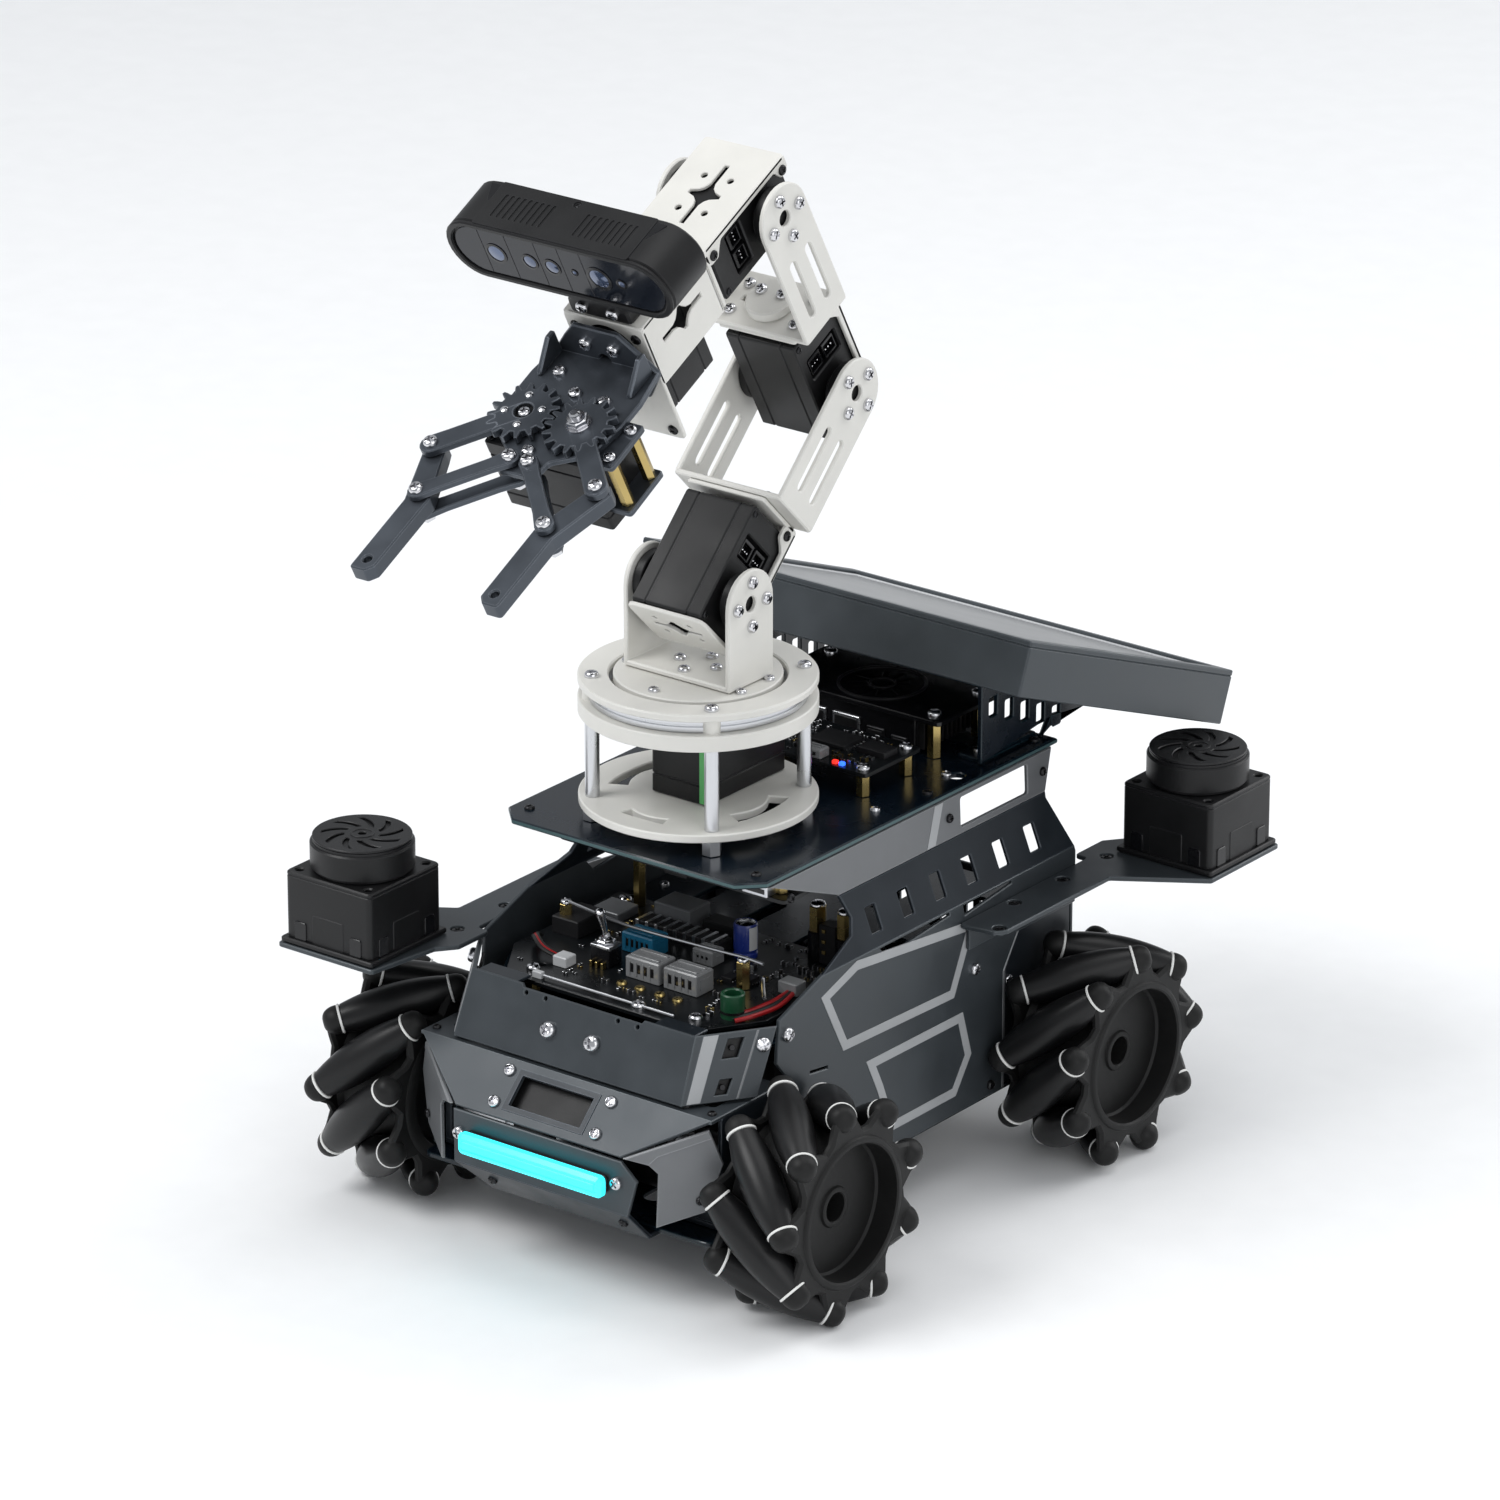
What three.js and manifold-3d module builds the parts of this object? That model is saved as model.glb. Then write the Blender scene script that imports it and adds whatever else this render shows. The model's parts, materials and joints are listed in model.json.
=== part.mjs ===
// Four-wheel mecanum robot with a five-axis arm, a gripper, two lidars, a depth
// camera and a tilted display. Millimetres, +Z up, front towards -Y, left side at +X.
// The ground is z = 0 and the origin is the middle of the footprint.
import * as THREE from 'three';
import { mergeVertices } from 'three/addons/utils/BufferGeometryUtils.js';
import Module from 'manifold-3d';

const wasm = await Module();
wasm.setup();

// ---------- driving dimensions ----------
const GAP = 0.3;                 // running and assembly gap
const SHEET = 1.6;               // folded chassis sheet
const WHEEL_R = 40;              // rolling radius
const WHEEL_W = 37;
const HALF_BASE = 84;            // half the wheelbase
const HALF_TRACK = 88;           // wheel centre to middle plane
const ROLLERS = 9;
const ROLLER_R = 7.5;
const SIDE_X = 66;               // outer face of the side panels
const WAIST_X = 57.5;            // side panels lean in to here
const DECK_HALF = 57;
const DECK_FRONT = -77;
const DECK_REAR = 101;
const DECK_Z = 145;              // top of the deck
const FLOOR_Z = 25.7;            // top of the bottom plate
const TRAY_Z = 85.6;             // top of the middle tray
const BOARD_Z = 93;              // top of the driver board
const ARM_Y = -34;               // arm's turning axis
const PILLAR = 26.3;             // pillar offset from that axis, both ways
const RING_R = 42;
const SHOULDER_Z = 228.6;
const LINK = 85;                 // shoulder to elbow, and elbow to wrist
const SHOULDER_TILT = -45;       // degrees from upright, forward positive
const ELBOW_TILT = 29;
const HAND_TILT = 28;            // hand below level
const SERVO = { width: 24.7, length: 45, height: 30, axisToEnd: 14 };
const HORN_R = 10.4;
const EAR_IN = 21.3;             // inner face of the fork arms
const EAR_T = 2;
const EAR_R = 12.5;
const GEAR_X = 12;               // half the distance between the gripper's gears
const GEAR_Y = -110;             // gear axes, ahead of the wrist axis
const GRIP_LINK = 33;            // drive links and followers, 45 degrees from straight ahead
const ROOT = { x: 8, y: -20 };   // gear axis to follower root, towards the middle
const LIDAR = { x: 92, y: 123, midY: 16, side: 38.6, top: 126, headR: 18.5, headTop: 138.5 };
const DISPLAY = { y: 44, z: 206, tilt: 21.5, halfWidth: 86, depth: 135, thick: 20 };

const rad = THREE.MathUtils.degToRad;

// ---------- solids ----------
function signedVolume(position, index) {
  const a = new THREE.Vector3();
  const b = new THREE.Vector3();
  const c = new THREE.Vector3();
  let total = 0;
  for (let i = 0; i < index.length; i += 3) {
    a.fromBufferAttribute(position, index[i]);
    b.fromBufferAttribute(position, index[i + 1]);
    c.fromBufferAttribute(position, index[i + 2]);
    total += a.dot(b.cross(c));
  }
  return total;
}

function toSolid(geometry) {
  const bare = geometry.clone();
  bare.deleteAttribute('normal');
  bare.deleteAttribute('uv');
  const merged = mergeVertices(bare, 1e-4);
  const source = merged.index.array;
  const index = [];
  for (let i = 0; i < source.length; i += 3) {
    const [a, b, c] = [source[i], source[i + 1], source[i + 2]];
    if (a !== b && b !== c && c !== a) index.push(a, b, c);
  }
  if (signedVolume(merged.attributes.position, index) < 0) index.reverse();
  return new wasm.Manifold(new wasm.Mesh({
    numProp: 3,
    vertProperties: Float32Array.from(merged.attributes.position.array),
    triVerts: Uint32Array.from(index),
  }));
}

function toGeometry(solid) {
  const mesh = solid.getMesh();
  const geometry = new THREE.BufferGeometry();
  geometry.setAttribute('position', new THREE.BufferAttribute(mesh.vertProperties, 3));
  geometry.setIndex(new THREE.BufferAttribute(mesh.triVerts, 1));
  geometry.computeVertexNormals();
  return geometry;
}

function join(...pieces) {
  return toGeometry(pieces.map(toSolid).reduce((a, b) => a.add(b)));
}

function cut(body, ...tools) {
  return toGeometry(tools.map(toSolid).reduce((a, b) => a.subtract(b), toSolid(body)));
}

function common(a, b) {
  return toGeometry(toSolid(a).intersect(toSolid(b)));
}

function mirrorX(geometry) {
  return toGeometry(toSolid(geometry.clone().scale(-1, 1, 1)));
}

function block(x0, x1, y0, y1, z0, z1) {
  const geometry = new THREE.BoxGeometry(x1 - x0, y1 - y0, z1 - z0);
  return geometry.translate((x0 + x1) / 2, (y0 + y1) / 2, (z0 + z1) / 2);
}

function rodX(radius, x0, x1, y, z, sides = 24) {
  const geometry = new THREE.CylinderGeometry(radius, radius, x1 - x0, sides);
  return geometry.rotateZ(Math.PI / 2).translate((x0 + x1) / 2, y, z);
}

function rodY(radius, y0, y1, x, z, sides = 24) {
  const geometry = new THREE.CylinderGeometry(radius, radius, y1 - y0, sides);
  return geometry.translate(x, (y0 + y1) / 2, z);
}

function rodZ(radius, z0, z1, x, y, sides = 24) {
  const geometry = new THREE.CylinderGeometry(radius, radius, z1 - z0, sides);
  return geometry.rotateX(Math.PI / 2).translate(x, y, (z0 + z1) / 2);
}

function outline(points) {
  return new THREE.Shape(points.map(([u, v]) => new THREE.Vector2(u, v)));
}

// points are [x, y], the slab runs from z0 to z1
function slabZ(points, z0, z1) {
  const geometry = new THREE.ExtrudeGeometry(outline(points), { depth: z1 - z0, bevelEnabled: false });
  return geometry.translate(0, 0, z0);
}

// points are [y, z], the slab runs from x0 to x1
function slabX(points, x0, x1) {
  const geometry = new THREE.ExtrudeGeometry(outline(points), { depth: x1 - x0, bevelEnabled: false });
  const basis = new THREE.Matrix4().makeBasis(
    new THREE.Vector3(0, 1, 0), new THREE.Vector3(0, 0, 1), new THREE.Vector3(1, 0, 0));
  return geometry.applyMatrix4(basis).translate(x0, 0, 0);
}

// points are [x, z], the slab runs from y0 to y1
function slabY(points, y0, y1) {
  const geometry = new THREE.ExtrudeGeometry(outline(points), { depth: y1 - y0, bevelEnabled: false });
  return geometry.rotateX(Math.PI / 2).translate(0, y1, 0);
}

// A flat sheet from the corners of its outer face, thickened away from `outward`.
function sheet(corners, outward, thickness = SHEET) {
  const origin = new THREE.Vector3(...corners[0]);
  const along = new THREE.Vector3(...corners[1]).sub(origin).normalize();
  const last = new THREE.Vector3(...corners[corners.length - 1]).sub(origin);
  const normal = along.clone().cross(last).normalize();
  if (normal.dot(new THREE.Vector3(...outward)) > 0) normal.negate();
  const across = normal.clone().cross(along).normalize();
  const flat = corners.map((corner) => {
    const offset = new THREE.Vector3(...corner).sub(origin);
    return [offset.dot(along), offset.dot(across)];
  });
  const geometry = new THREE.ExtrudeGeometry(outline(flat), { depth: thickness, bevelEnabled: false });
  const basis = new THREE.Matrix4().makeBasis(along, across, normal).setPosition(origin);
  return geometry.applyMatrix4(basis);
}

function ring(outer, inner, z0, z1, sides = 40) {
  return cut(rodZ(outer, z0, z1, 0, 0, sides), rodZ(inner, z0 - 1, z1 + 1, 0, 0, sides));
}

// ---------- scene graph ----------
const robot = new THREE.Group();
robot.name = 'mecanum_robot';

function group(parent, x, y, z, tilt = 0) {
  const child = new THREE.Group();
  child.position.set(x, y, z);
  child.rotation.x = rad(tilt);
  parent.add(child);
  return child;
}

function piece(parent, name, geometry, color, roughness, metalness) {
  const material = new THREE.MeshStandardMaterial({ color, roughness, metalness });
  const mesh = new THREE.Mesh(geometry, material);
  mesh.name = name;
  parent.add(mesh);
  return mesh;
}

const slatePaint = (parent, name, geometry) => piece(parent, name, geometry, 0x3a4149, 0.5, 0.4);
const navyPaint = (parent, name, geometry) => piece(parent, name, geometry, 0x0d1620, 0.3, 0.4);
const greyPaint = (parent, name, geometry) => piece(parent, name, geometry, 0x6b6f75, 0.5, 0.4);
const whitePaint = (parent, name, geometry) => piece(parent, name, geometry, 0xe6e6e0, 0.5, 0.1);
const darkPaint = (parent, name, geometry) => piece(parent, name, geometry, 0x3c4046, 0.4, 0.7);
const blackPlastic = (parent, name, geometry) => piece(parent, name, geometry, 0x1c1c1e, 0.55, 0);
const rubber = (parent, name, geometry) => piece(parent, name, geometry, 0x161616, 0.75, 0);
const laminate = (parent, name, geometry) => piece(parent, name, geometry, 0x14181c, 0.5, 0.1);
const steel = (parent, name, geometry) => piece(parent, name, geometry, 0xb9bcc0, 0.3, 0.9);

// ---------- chassis ----------
function bottomPlate() {
  const plate = block(-64, 64, -110, 102, FLOOR_Z - 1.7, FLOOR_Z);
  const lip = block(62.5, 64.1, -30, 55, FLOOR_Z - 1, 40);
  return join(plate, lip, mirrorX(lip));
}

function sidePanel() {
  const bend = 106;
  const waist = 127;
  const top = DECK_Z - 2.5;
  const outer = [[SIDE_X, 27], [SIDE_X, bend], [WAIST_X, waist], [56.8, top]];
  const inner = outer.map(([x, z]) => [x - SHEET, z]).reverse();
  const folded = slabY([...outer, ...inner], -80, 104);
  const profile = slabX([
    [-20, 26], [58, 26], [58, 72], [66, 84], [101, 84], [101, 104], [93, 125], [98, 143],
    [-68, 143], [-28.6, 127.4], [-25.7, 118.7], [-28.5, 113.4],
    [-73.4, 97.4], [-75, 84], [-46, 84], [-22, 50],
  ], 50, 70);
  const openings = [block(50, 70, 43, 83, 129.5, 140.5)];
  for (let i = 0; i < 6; i += 1) {
    const y = -15 + i * 18.8;
    openings.push(block(50, 70, y - 3, y + 3, 110.5, 119.5));
  }
  return cut(common(folded, profile), ...openings);
}

function upperFascia() {
  const front = sheet(
    [[-49.4, -99, 96], [49.4, -99, 96], [50.3, -108.7, 73.2], [-50.3, -108.7, 73.2]], [0, -1, 0.4]);
  const wing = sheet(
    [[49.4, -99, 96], [66, -75, 96], [66, -86, 73.2], [50.3, -108.7, 73.2]], [1, -0.7, 0.4]);
  return join(front, wing, mirrorX(wing));
}

function slantedPanel() {
  const face = sheet(
    [[-64.3, -109.5, 72], [64.3, -109.5, 72], [36.5, -125, 56.5], [-36.5, -125, 56.5]], [0, -1, 1]);
  const shelf = slabZ([[-64.3, -109.5], [64.3, -109.5], [64.3, -70], [-64.3, -70]], 70.4, 72);
  const window = block(-18, 18, -124, -112, 50, 80);
  const wall = slabX([[-104, 71], [-70, 71], [-70, 26.1], [-104, 26.1]], 62.7, 64.3);
  const side = cut(wall, rodX(7, 60, 67, -HALF_BASE, WHEEL_R, 16));
  const opening = block(-58, 58, -100, -60, 60, 80);
  return join(cut(face, window), cut(shelf, opening), side, mirrorX(side));
}

function lowerBumper() {
  const upright = sheet(
    [[-37, -125.5, 55], [37, -125.5, 55], [44, -125.5, 49], [40, -125.5, 35], [-37, -125.5, 35]],
    [0, -1, 0]);
  const chin = sheet(
    [[-37, -125.5, 35], [40, -125.5, 35], [40, -113, 22], [-30, -113, 22]], [0, -1, -1]);
  const foot = block(-30, 40, -113, -98, 22, FLOOR_Z - 1.7 - GAP);
  return join(upright, chin, foot);
}

function fender() {
  const start = new THREE.Vector3(38, -126, 0);
  const run = new THREE.Vector3(28, 19.3, 0).normalize();
  const flat = [[0.5, 56.5], [30, 68], [35, 55.3], [28.9, 37.1], [11.8, 30.7], [12.5, 51], [9.3, 54.1]];
  const corners = flat.map(([s, z]) => [start.x + run.x * s, start.y + run.y * s, z]);
  return sheet(corners, [0.57, -0.83, 0], 1.4);
}

function buildShell() {
  navyPaint(robot, 'bottom_plate', bottomPlate());
  const panel = sidePanel();
  slatePaint(robot, 'side_panel_left', panel);
  slatePaint(robot, 'side_panel_right', mirrorX(panel));
  slatePaint(robot, 'upper_fascia', upperFascia());
  slatePaint(robot, 'slanted_panel', slantedPanel());
  slatePaint(robot, 'lower_bumper', lowerBumper());
  piece(robot, 'light_bar', block(-31, 31, -131.8, -125.8, 40.4, 48.8), 0x28d6ff, 0.3, 0);
  const wing = fender();
  greyPaint(robot, 'fender_left', wing);
  greyPaint(robot, 'fender_right', mirrorX(wing));
  slatePaint(robot, 'rear_panel', block(-63, 63, 102.3, 103.9, 27, 86));
  const tray = slabZ([
    [64.1, -60], [64.1, 98], [-64.1, 98], [-64.1, -60], [-46, -92], [46, -92],
  ], TRAY_Z - 1.6, TRAY_Z);
  navyPaint(robot, 'middle_tray', tray);
  const deck = slabZ([
    [-DECK_HALF, DECK_REAR], [-DECK_HALF, DECK_FRONT + 8], [-DECK_HALF + 8, DECK_FRONT],
    [DECK_HALF - 8, DECK_FRONT], [DECK_HALF, DECK_FRONT + 8], [DECK_HALF, DECK_REAR],
  ], DECK_Z - 2.2, DECK_Z);
  navyPaint(robot, 'top_deck', deck);
}

// ---------- electronics ----------
function driverBoard() {
  const foot = BOARD_Z - 0.5;
  const board = slabZ([
    [-42, -90], [42, -90], [56, -68], [56, -8], [-56, -8], [-56, -68],
  ], BOARD_Z - 1.6, BOARD_Z);
  const posts = [[-36, -82], [36, -82], [-49, -14], [49, -14]]
    .map(([x, y]) => rodZ(3, TRAY_Z + GAP, foot, x, y, 10));
  const plugs = [block(-6.6, 8.3, -67.3, -57.5, foot, 103), block(10.2, 25, -67.3, -57.5, foot, 103)];
  const capacitors = [rodZ(4.2, foot, 106, 15.5, -27.2, 12), rodZ(4.6, foot, 104, 44.5, -72, 12)];
  const standoff = rodZ(2.6, foot, 104, 32.5, -50.5, 6);
  const toggleBody = block(-23, -15, -66.4, -58.4, foot, 101.6);
  return join(board, ...posts, ...plugs, ...capacitors, standoff, toggleBody);
}

function controllerBoard() {
  const board = block(-50, 50, -50, 20, 128.4, 130);
  const posts = [[-44, -44], [44, -44], [-44, 14], [44, 14]]
    .map(([x, y]) => rodZ(2.6, 129, DECK_Z - 2.2 - GAP, x, y, 6));
  const chips = block(-20, 16, -30, 6, 129.5, 134);
  return join(board, ...posts, chips);
}

function hubBoard() {
  const board = block(-36, 39, 11, 44, 153.4, 155);
  const posts = [[-32, 15], [35, 15], [-32, 40], [35, 40]]
    .map(([x, y]) => rodZ(2.6, DECK_Z + GAP, 154, x, y, 6));
  const sockets = [block(-20, -8, 15, 22, 154.5, 159), block(4, 20, 24, 36, 154.5, 157)];
  return join(board, ...posts, ...sockets);
}

function computerCase() {
  const lid = block(-39, 39, 54, 92, 159, 161);
  const body = block(-28, 27, 56, 90, DECK_Z + 1.2, 160);
  const posts = [[-33, 59.6], [33, 59.6], [-33, 86], [33, 86]]
    .map(([x, y]) => rodZ(2.6, DECK_Z + GAP, 160, x, y, 6));
  return join(lid, body, ...posts);
}

function toggleLever() {
  const pivotBall = new THREE.SphereGeometry(1.5, 10, 8);
  const tip = new THREE.SphereGeometry(1.7, 10, 8).translate(0, 0, 10);
  return join(rodZ(1.2, 1, 10, 0, 0, 10), pivotBall, tip);
}

function buildElectronics() {
  laminate(robot, 'driver_board', driverBoard());
  laminate(robot, 'controller_board', controllerBoard());
  laminate(robot, 'hub_board', hubBoard());
  blackPlastic(robot, 'computer_case', computerCase());
  blackPlastic(robot, 'battery_pack', block(-32, 32, -50, 48, FLOOR_Z + GAP, 62));
  steel(group(robot, -19, -62.4, 103.6, 18), 'power_toggle', toggleLever());
}

// ---------- drive ----------
function motor() {
  const can = rodX(12.5, 10, 60, 0, WHEEL_R, 24);
  const shaft = rodX(3, 59, 92, 0, WHEEL_R, 10);
  const face = block(59, 62, -16, 16, FLOOR_Z + GAP, 57);
  const foot = block(42, 62, -16, 16, FLOOR_Z + GAP, FLOOR_Z + 2.3);
  return join(can, shaft, face, foot);
}

// Outline of a wheel side plate: one lobe per roller.
function lobedOutline() {
  const lobe = [[-14, 30], [-7, 36.2], [0, 38.6], [7, 36.6], [12, 31]];
  const points = [];
  for (let k = 0; k < ROLLERS; k += 1) {
    for (const [angle, radius] of lobe) {
      const a = rad(k * 360 / ROLLERS + angle);
      points.push([radius * Math.cos(a), radius * Math.sin(a)]);
    }
  }
  return points;
}

function roller() {
  const half = 20.5;
  const end = 4.6;
  const profile = [[0, -half], [end, -half], [ROLLER_R, -5], [ROLLER_R, 5], [end, half], [0, half]];
  const points = profile.map(([r, h]) => new THREE.Vector2(r, h));
  return new THREE.LatheGeometry(points, 8);
}

// Axle along X, outer side at +X. `hand` is the sign of the rollers' slant.
function mecanumWheel(hand) {
  const half = WHEEL_W / 2;
  const hub = rodX(26.5, -half, half, 0, 0, 24);
  const plate = slabX(lobedOutline(), half - 3.5, half);
  const back = slabX(lobedOutline(), -half, -half + 3.5);
  const rollers = [];
  for (let k = 0; k < ROLLERS; k += 1) {
    const slanted = roller().rotateX(Math.PI / 2).rotateY(Math.PI / 2);
    slanted.rotateZ(-hand * Math.PI / 4).translate(0, 0, ROLLER_R - WHEEL_R);
    rollers.push(slanted.rotateX(k * 2 * Math.PI / ROLLERS));
  }
  const dish = rodX(24.5, half - 9, half + 1, 0, 0, 24);
  const innerDish = rodX(22, -half - 1, -half + 8, 0, 0, 20);
  const bore = rodX(3 + GAP, -half - 1, half + 1, 0, 0, 10);
  return cut(join(hub, plate, back, ...rollers), dish, innerDish, bore);
}

function buildDrive() {
  const rightHanded = mecanumWheel(1);
  const leftHanded = mecanumWheel(-1);
  const motorBody = motor();
  for (const [end, y] of [['front', -HALF_BASE], ['rear', HALF_BASE]]) {
    for (const [side, sign] of [['left', 1], ['right', -1]]) {
      const mirrored = sign > 0 ? motorBody : mirrorX(motorBody);
      piece(group(robot, 0, y, 0), `motor_${end}_${side}`, mirrored, 0x8d9196, 0.4, 0.8);
      const slant = (end === 'front') === (sign > 0) ? leftHanded : rightHanded;
      const wheel = sign > 0 ? slant : slant.clone().rotateZ(Math.PI);
      rubber(group(robot, sign * HALF_TRACK, y, WHEEL_R), `wheel_${end}_${side}`, wheel);
    }
  }
}

// ---------- lidars ----------
function lidarPlate() {
  const arm = slabZ([
    [66.3, 30], [80, 32], [83, 36], [83, 98], [113.5, 118], [113.5, 160.5], [70.5, 160.5],
    [66.5, 131], [61, 124], [61, 107.5], [66.3, 107.5],
  ], 97, 99);
  return join(arm, block(66.3, 68, 34, 98, 88, 98));
}

function lidarBase() {
  const { side, top } = LIDAR;
  const flange = block(-20.8, 20.8, -20.8, 20.8, 99.3, 103);
  const body = block(-side / 2, side / 2, -side / 2, side / 2, 102, top);
  return join(flange, body);
}

function lidarHead() {
  const { top, headR, headTop } = LIDAR;
  const foot = top + GAP;
  const profile = [[0, foot], [headR, foot], [headR, headTop - 1], [headR - 1, headTop], [0, headTop]]
    .map(([r, z]) => new THREE.Vector2(r, z));
  return new THREE.LatheGeometry(profile, 36).rotateX(Math.PI / 2);
}

function buildLidars() {
  const offset = LIDAR.y;
  for (const [end, sign] of [['rear', 1], ['front', -1]]) {
    const turned = lidarPlate().translate(0, -LIDAR.midY, 0);
    if (sign < 0) turned.rotateZ(Math.PI);
    slatePaint(group(robot, 0, LIDAR.midY, 0), `lidar_plate_${end}`, turned);
    const seat = group(robot, sign * LIDAR.x, LIDAR.midY + sign * offset, 0);
    blackPlastic(seat, `lidar_base_${end}`, lidarBase());
    blackPlastic(seat, `lidar_head_${end}`, lidarHead());
  }
}

// ---------- display ----------
function displayHousing() {
  const { halfWidth, depth, thick } = DISPLAY;
  const shell = block(-halfWidth, halfWidth, 0, depth, -thick, 0);
  return cut(shell, block(-halfWidth + 6, halfWidth - 6, 8, depth - 8, -2.2, 1));
}

function displayBracket() {
  const slope = Math.tan(rad(DISPLAY.tilt));
  const under = (y) => 186.8 - slope * (y - 36.6);
  const wall = slabX([
    [62, DECK_Z + GAP], [100, DECK_Z + GAP], [104, 151],
    [126, under(126) - 3], [126, under(126)], [62, under(62)],
  ], 50, 52);
  const slots = [];
  for (let i = 0; i < 5; i += 1) {
    const y = 66.5 + i * 9.6;
    slots.push(block(49, 53, y, y + 5, under(y) - 13, under(y) - 5.5));
  }
  const side = cut(wall, ...slots);
  const plate = slabX([
    [62, under(62)], [126, under(126)], [126, under(126) - 1.8], [62, under(62) - 1.8],
  ], -51, 51);
  return join(side, mirrorX(side), plate);
}

function buildDisplay() {
  const { halfWidth, depth } = DISPLAY;
  const frame = group(robot, 0, DISPLAY.y, DISPLAY.z, -DISPLAY.tilt);
  slatePaint(frame, 'display_housing', displayHousing());
  const glass = block(-halfWidth + 6 + GAP, halfWidth - 6 - GAP, 8 + GAP, depth - 8 - GAP, -1.9, -0.3);
  piece(frame, 'display_screen', glass, 0x6f7275, 0.2, 0);
  navyPaint(robot, 'display_bracket', displayBracket());
}

// ---------- arm base ----------
function armBasePlate() {
  const spots = [[1, 1], [1, -1], [-1, 1], [-1, -1]];
  const spacers = spots.map(([i, j]) => rodZ(4, DECK_Z + GAP, 152, i * PILLAR, j * PILLAR, 12));
  return join(rodZ(RING_R, 151, 154, 0, 0, 48), ...spacers);
}

function armBaseRing() {
  const spots = [[1, 1], [1, -1], [-1, 1], [-1, -1]];
  const pillars = spots.map(([i, j]) => rodZ(2.6, 154 + GAP, 196, i * PILLAR, j * PILLAR, 12));
  return join(ring(RING_R, 31, 184.6, 191), ring(RING_R, 31, 195.4, 198.6), ...pillars);
}

function baseServo() {
  const body = block(-SERVO.width / 2, SERVO.width / 2, -11, 34, 154 + GAP, 184.2);
  return join(body, rodZ(HORN_R, 184, 188.3, 0, 0));
}

function turntable() {
  return join(rodZ(29.3, 195.6, 198.9, 0, 0, 48), rodZ(10, 188.6, 196, 0, 0));
}

function earOutline(centre, foot, halfFoot) {
  const points = [[halfFoot, foot]];
  for (let i = 0; i <= 10; i += 1) {
    const a = rad(i * 18);
    points.push([EAR_R * Math.cos(a), centre + EAR_R * Math.sin(a)]);
  }
  points.push([-halfFoot, foot]);
  return points;
}

function horns(z) {
  const disc = rodX(HORN_R, SERVO.height / 2 + 2 * GAP, EAR_IN + 0.5, 0, z);
  return [disc, mirrorX(disc)];
}

function shoulderBracket() {
  const foot = 198.9 + GAP;
  const ear = slabX(earOutline(SHOULDER_Z, foot, EAR_R), EAR_IN, EAR_IN + EAR_T);
  const base = block(-EAR_IN - 1, EAR_IN + 1, -EAR_R, EAR_R, foot, foot + EAR_T);
  return join(ear, mirrorX(ear), base, ...horns(SHOULDER_Z));
}

// ---------- arm links: local +Z runs along the link, +Y is the rear ----------
function servoBody() {
  const { width, length, height, axisToEnd } = SERVO;
  return block(-height / 2, height / 2, -width / 2, width / 2, -axisToEnd, length - axisToEnd);
}

// Channel round a servo: a web behind it, side strips with screw tabs, end plates.
function servoChannel(withHeel) {
  const inner = SERVO.width / 2 + GAP;
  const outer = inner + 1.5;
  const sideIn = SERVO.height / 2 + GAP;
  const sideOut = sideIn + 1.5;
  const low = -SERVO.axisToEnd - GAP - 1.5;
  const high = SERVO.length - SERVO.axisToEnd + GAP + 3.5;
  const web = block(-sideOut, sideOut, inner, outer, low, high);
  const strip = join(
    block(sideIn, sideOut, HORN_R + 0.7, outer, low, high),
    block(sideIn, sideOut, 4, outer, 20, high));
  const toe = block(-sideOut, sideOut, -inner + 0.3, outer, high - 1.5, high);
  const pieces = [web, strip, mirrorX(strip), toe];
  if (withHeel) pieces.push(block(-sideOut, sideOut, -inner + 0.3, outer, low, low + 1.5));
  return join(...pieces);
}

// Fork bolted to the channel's end plate, with an ear and a horn each side.
function fork(withBoss) {
  const foot = SERVO.length - SERVO.axisToEnd + 2 * GAP + 3.5;
  const arm = slabX(earOutline(LINK, foot, EAR_R), EAR_IN, EAR_IN + EAR_T);
  const slots = [-1, 1].map((s) => block(20, 25, s * 4.6 - 2, s * 4.6 + 2, foot + 8, LINK - 17));
  const slotted = cut(arm, ...slots);
  const base = block(-EAR_IN - 1, EAR_IN + 1, -EAR_R, EAR_R, foot, foot + EAR_T);
  const pieces = [slotted, mirrorX(slotted), base, ...horns(LINK)];
  if (withBoss) pieces.push(rodZ(11, foot + 1, foot + 5, 0, 0));
  return join(...pieces);
}

// ---------- hand: local -Y runs forward, +Z is its upper side ----------
function rollBracket() {
  const rear = block(-17, 17, -36.8, -35.3, -12.6, 14.1);
  const side = block(15.5, 17, -73.4, -35.3, -12.6, 14.1);
  const top = block(-17, 17, -73.4, -58, 12.6, 14.1);
  const face = cut(block(-17, 17, -73.4, -71.9, -38, 14.1), rodY(11.2, -75, -70, 0, 0));
  return join(rear, side, mirrorX(side), top, face);
}

function rollServo() {
  return block(-SERVO.width / 2, SERVO.width / 2, -71.6, -44, -33, 12.2);
}

function depthCamera() {
  const bar = new THREE.Shape();
  const half = 35;
  const radius = 13;
  bar.moveTo(-half, -radius);
  bar.lineTo(half, -radius);
  bar.absarc(half, 0, radius, -Math.PI / 2, Math.PI / 2, false);
  bar.lineTo(-half, radius);
  bar.absarc(-half, 0, radius, Math.PI / 2, 3 * Math.PI / 2, false);
  const body = new THREE.ExtrudeGeometry(bar, { depth: 22, bevelEnabled: false, curveSegments: 10 });
  body.rotateX(Math.PI / 2).translate(0, -60.5, 45.6);
  return join(body, block(-7, 7, -72, -64, 21, 34), block(-13, 13, -73, -62, 14.4, 22));
}

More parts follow.
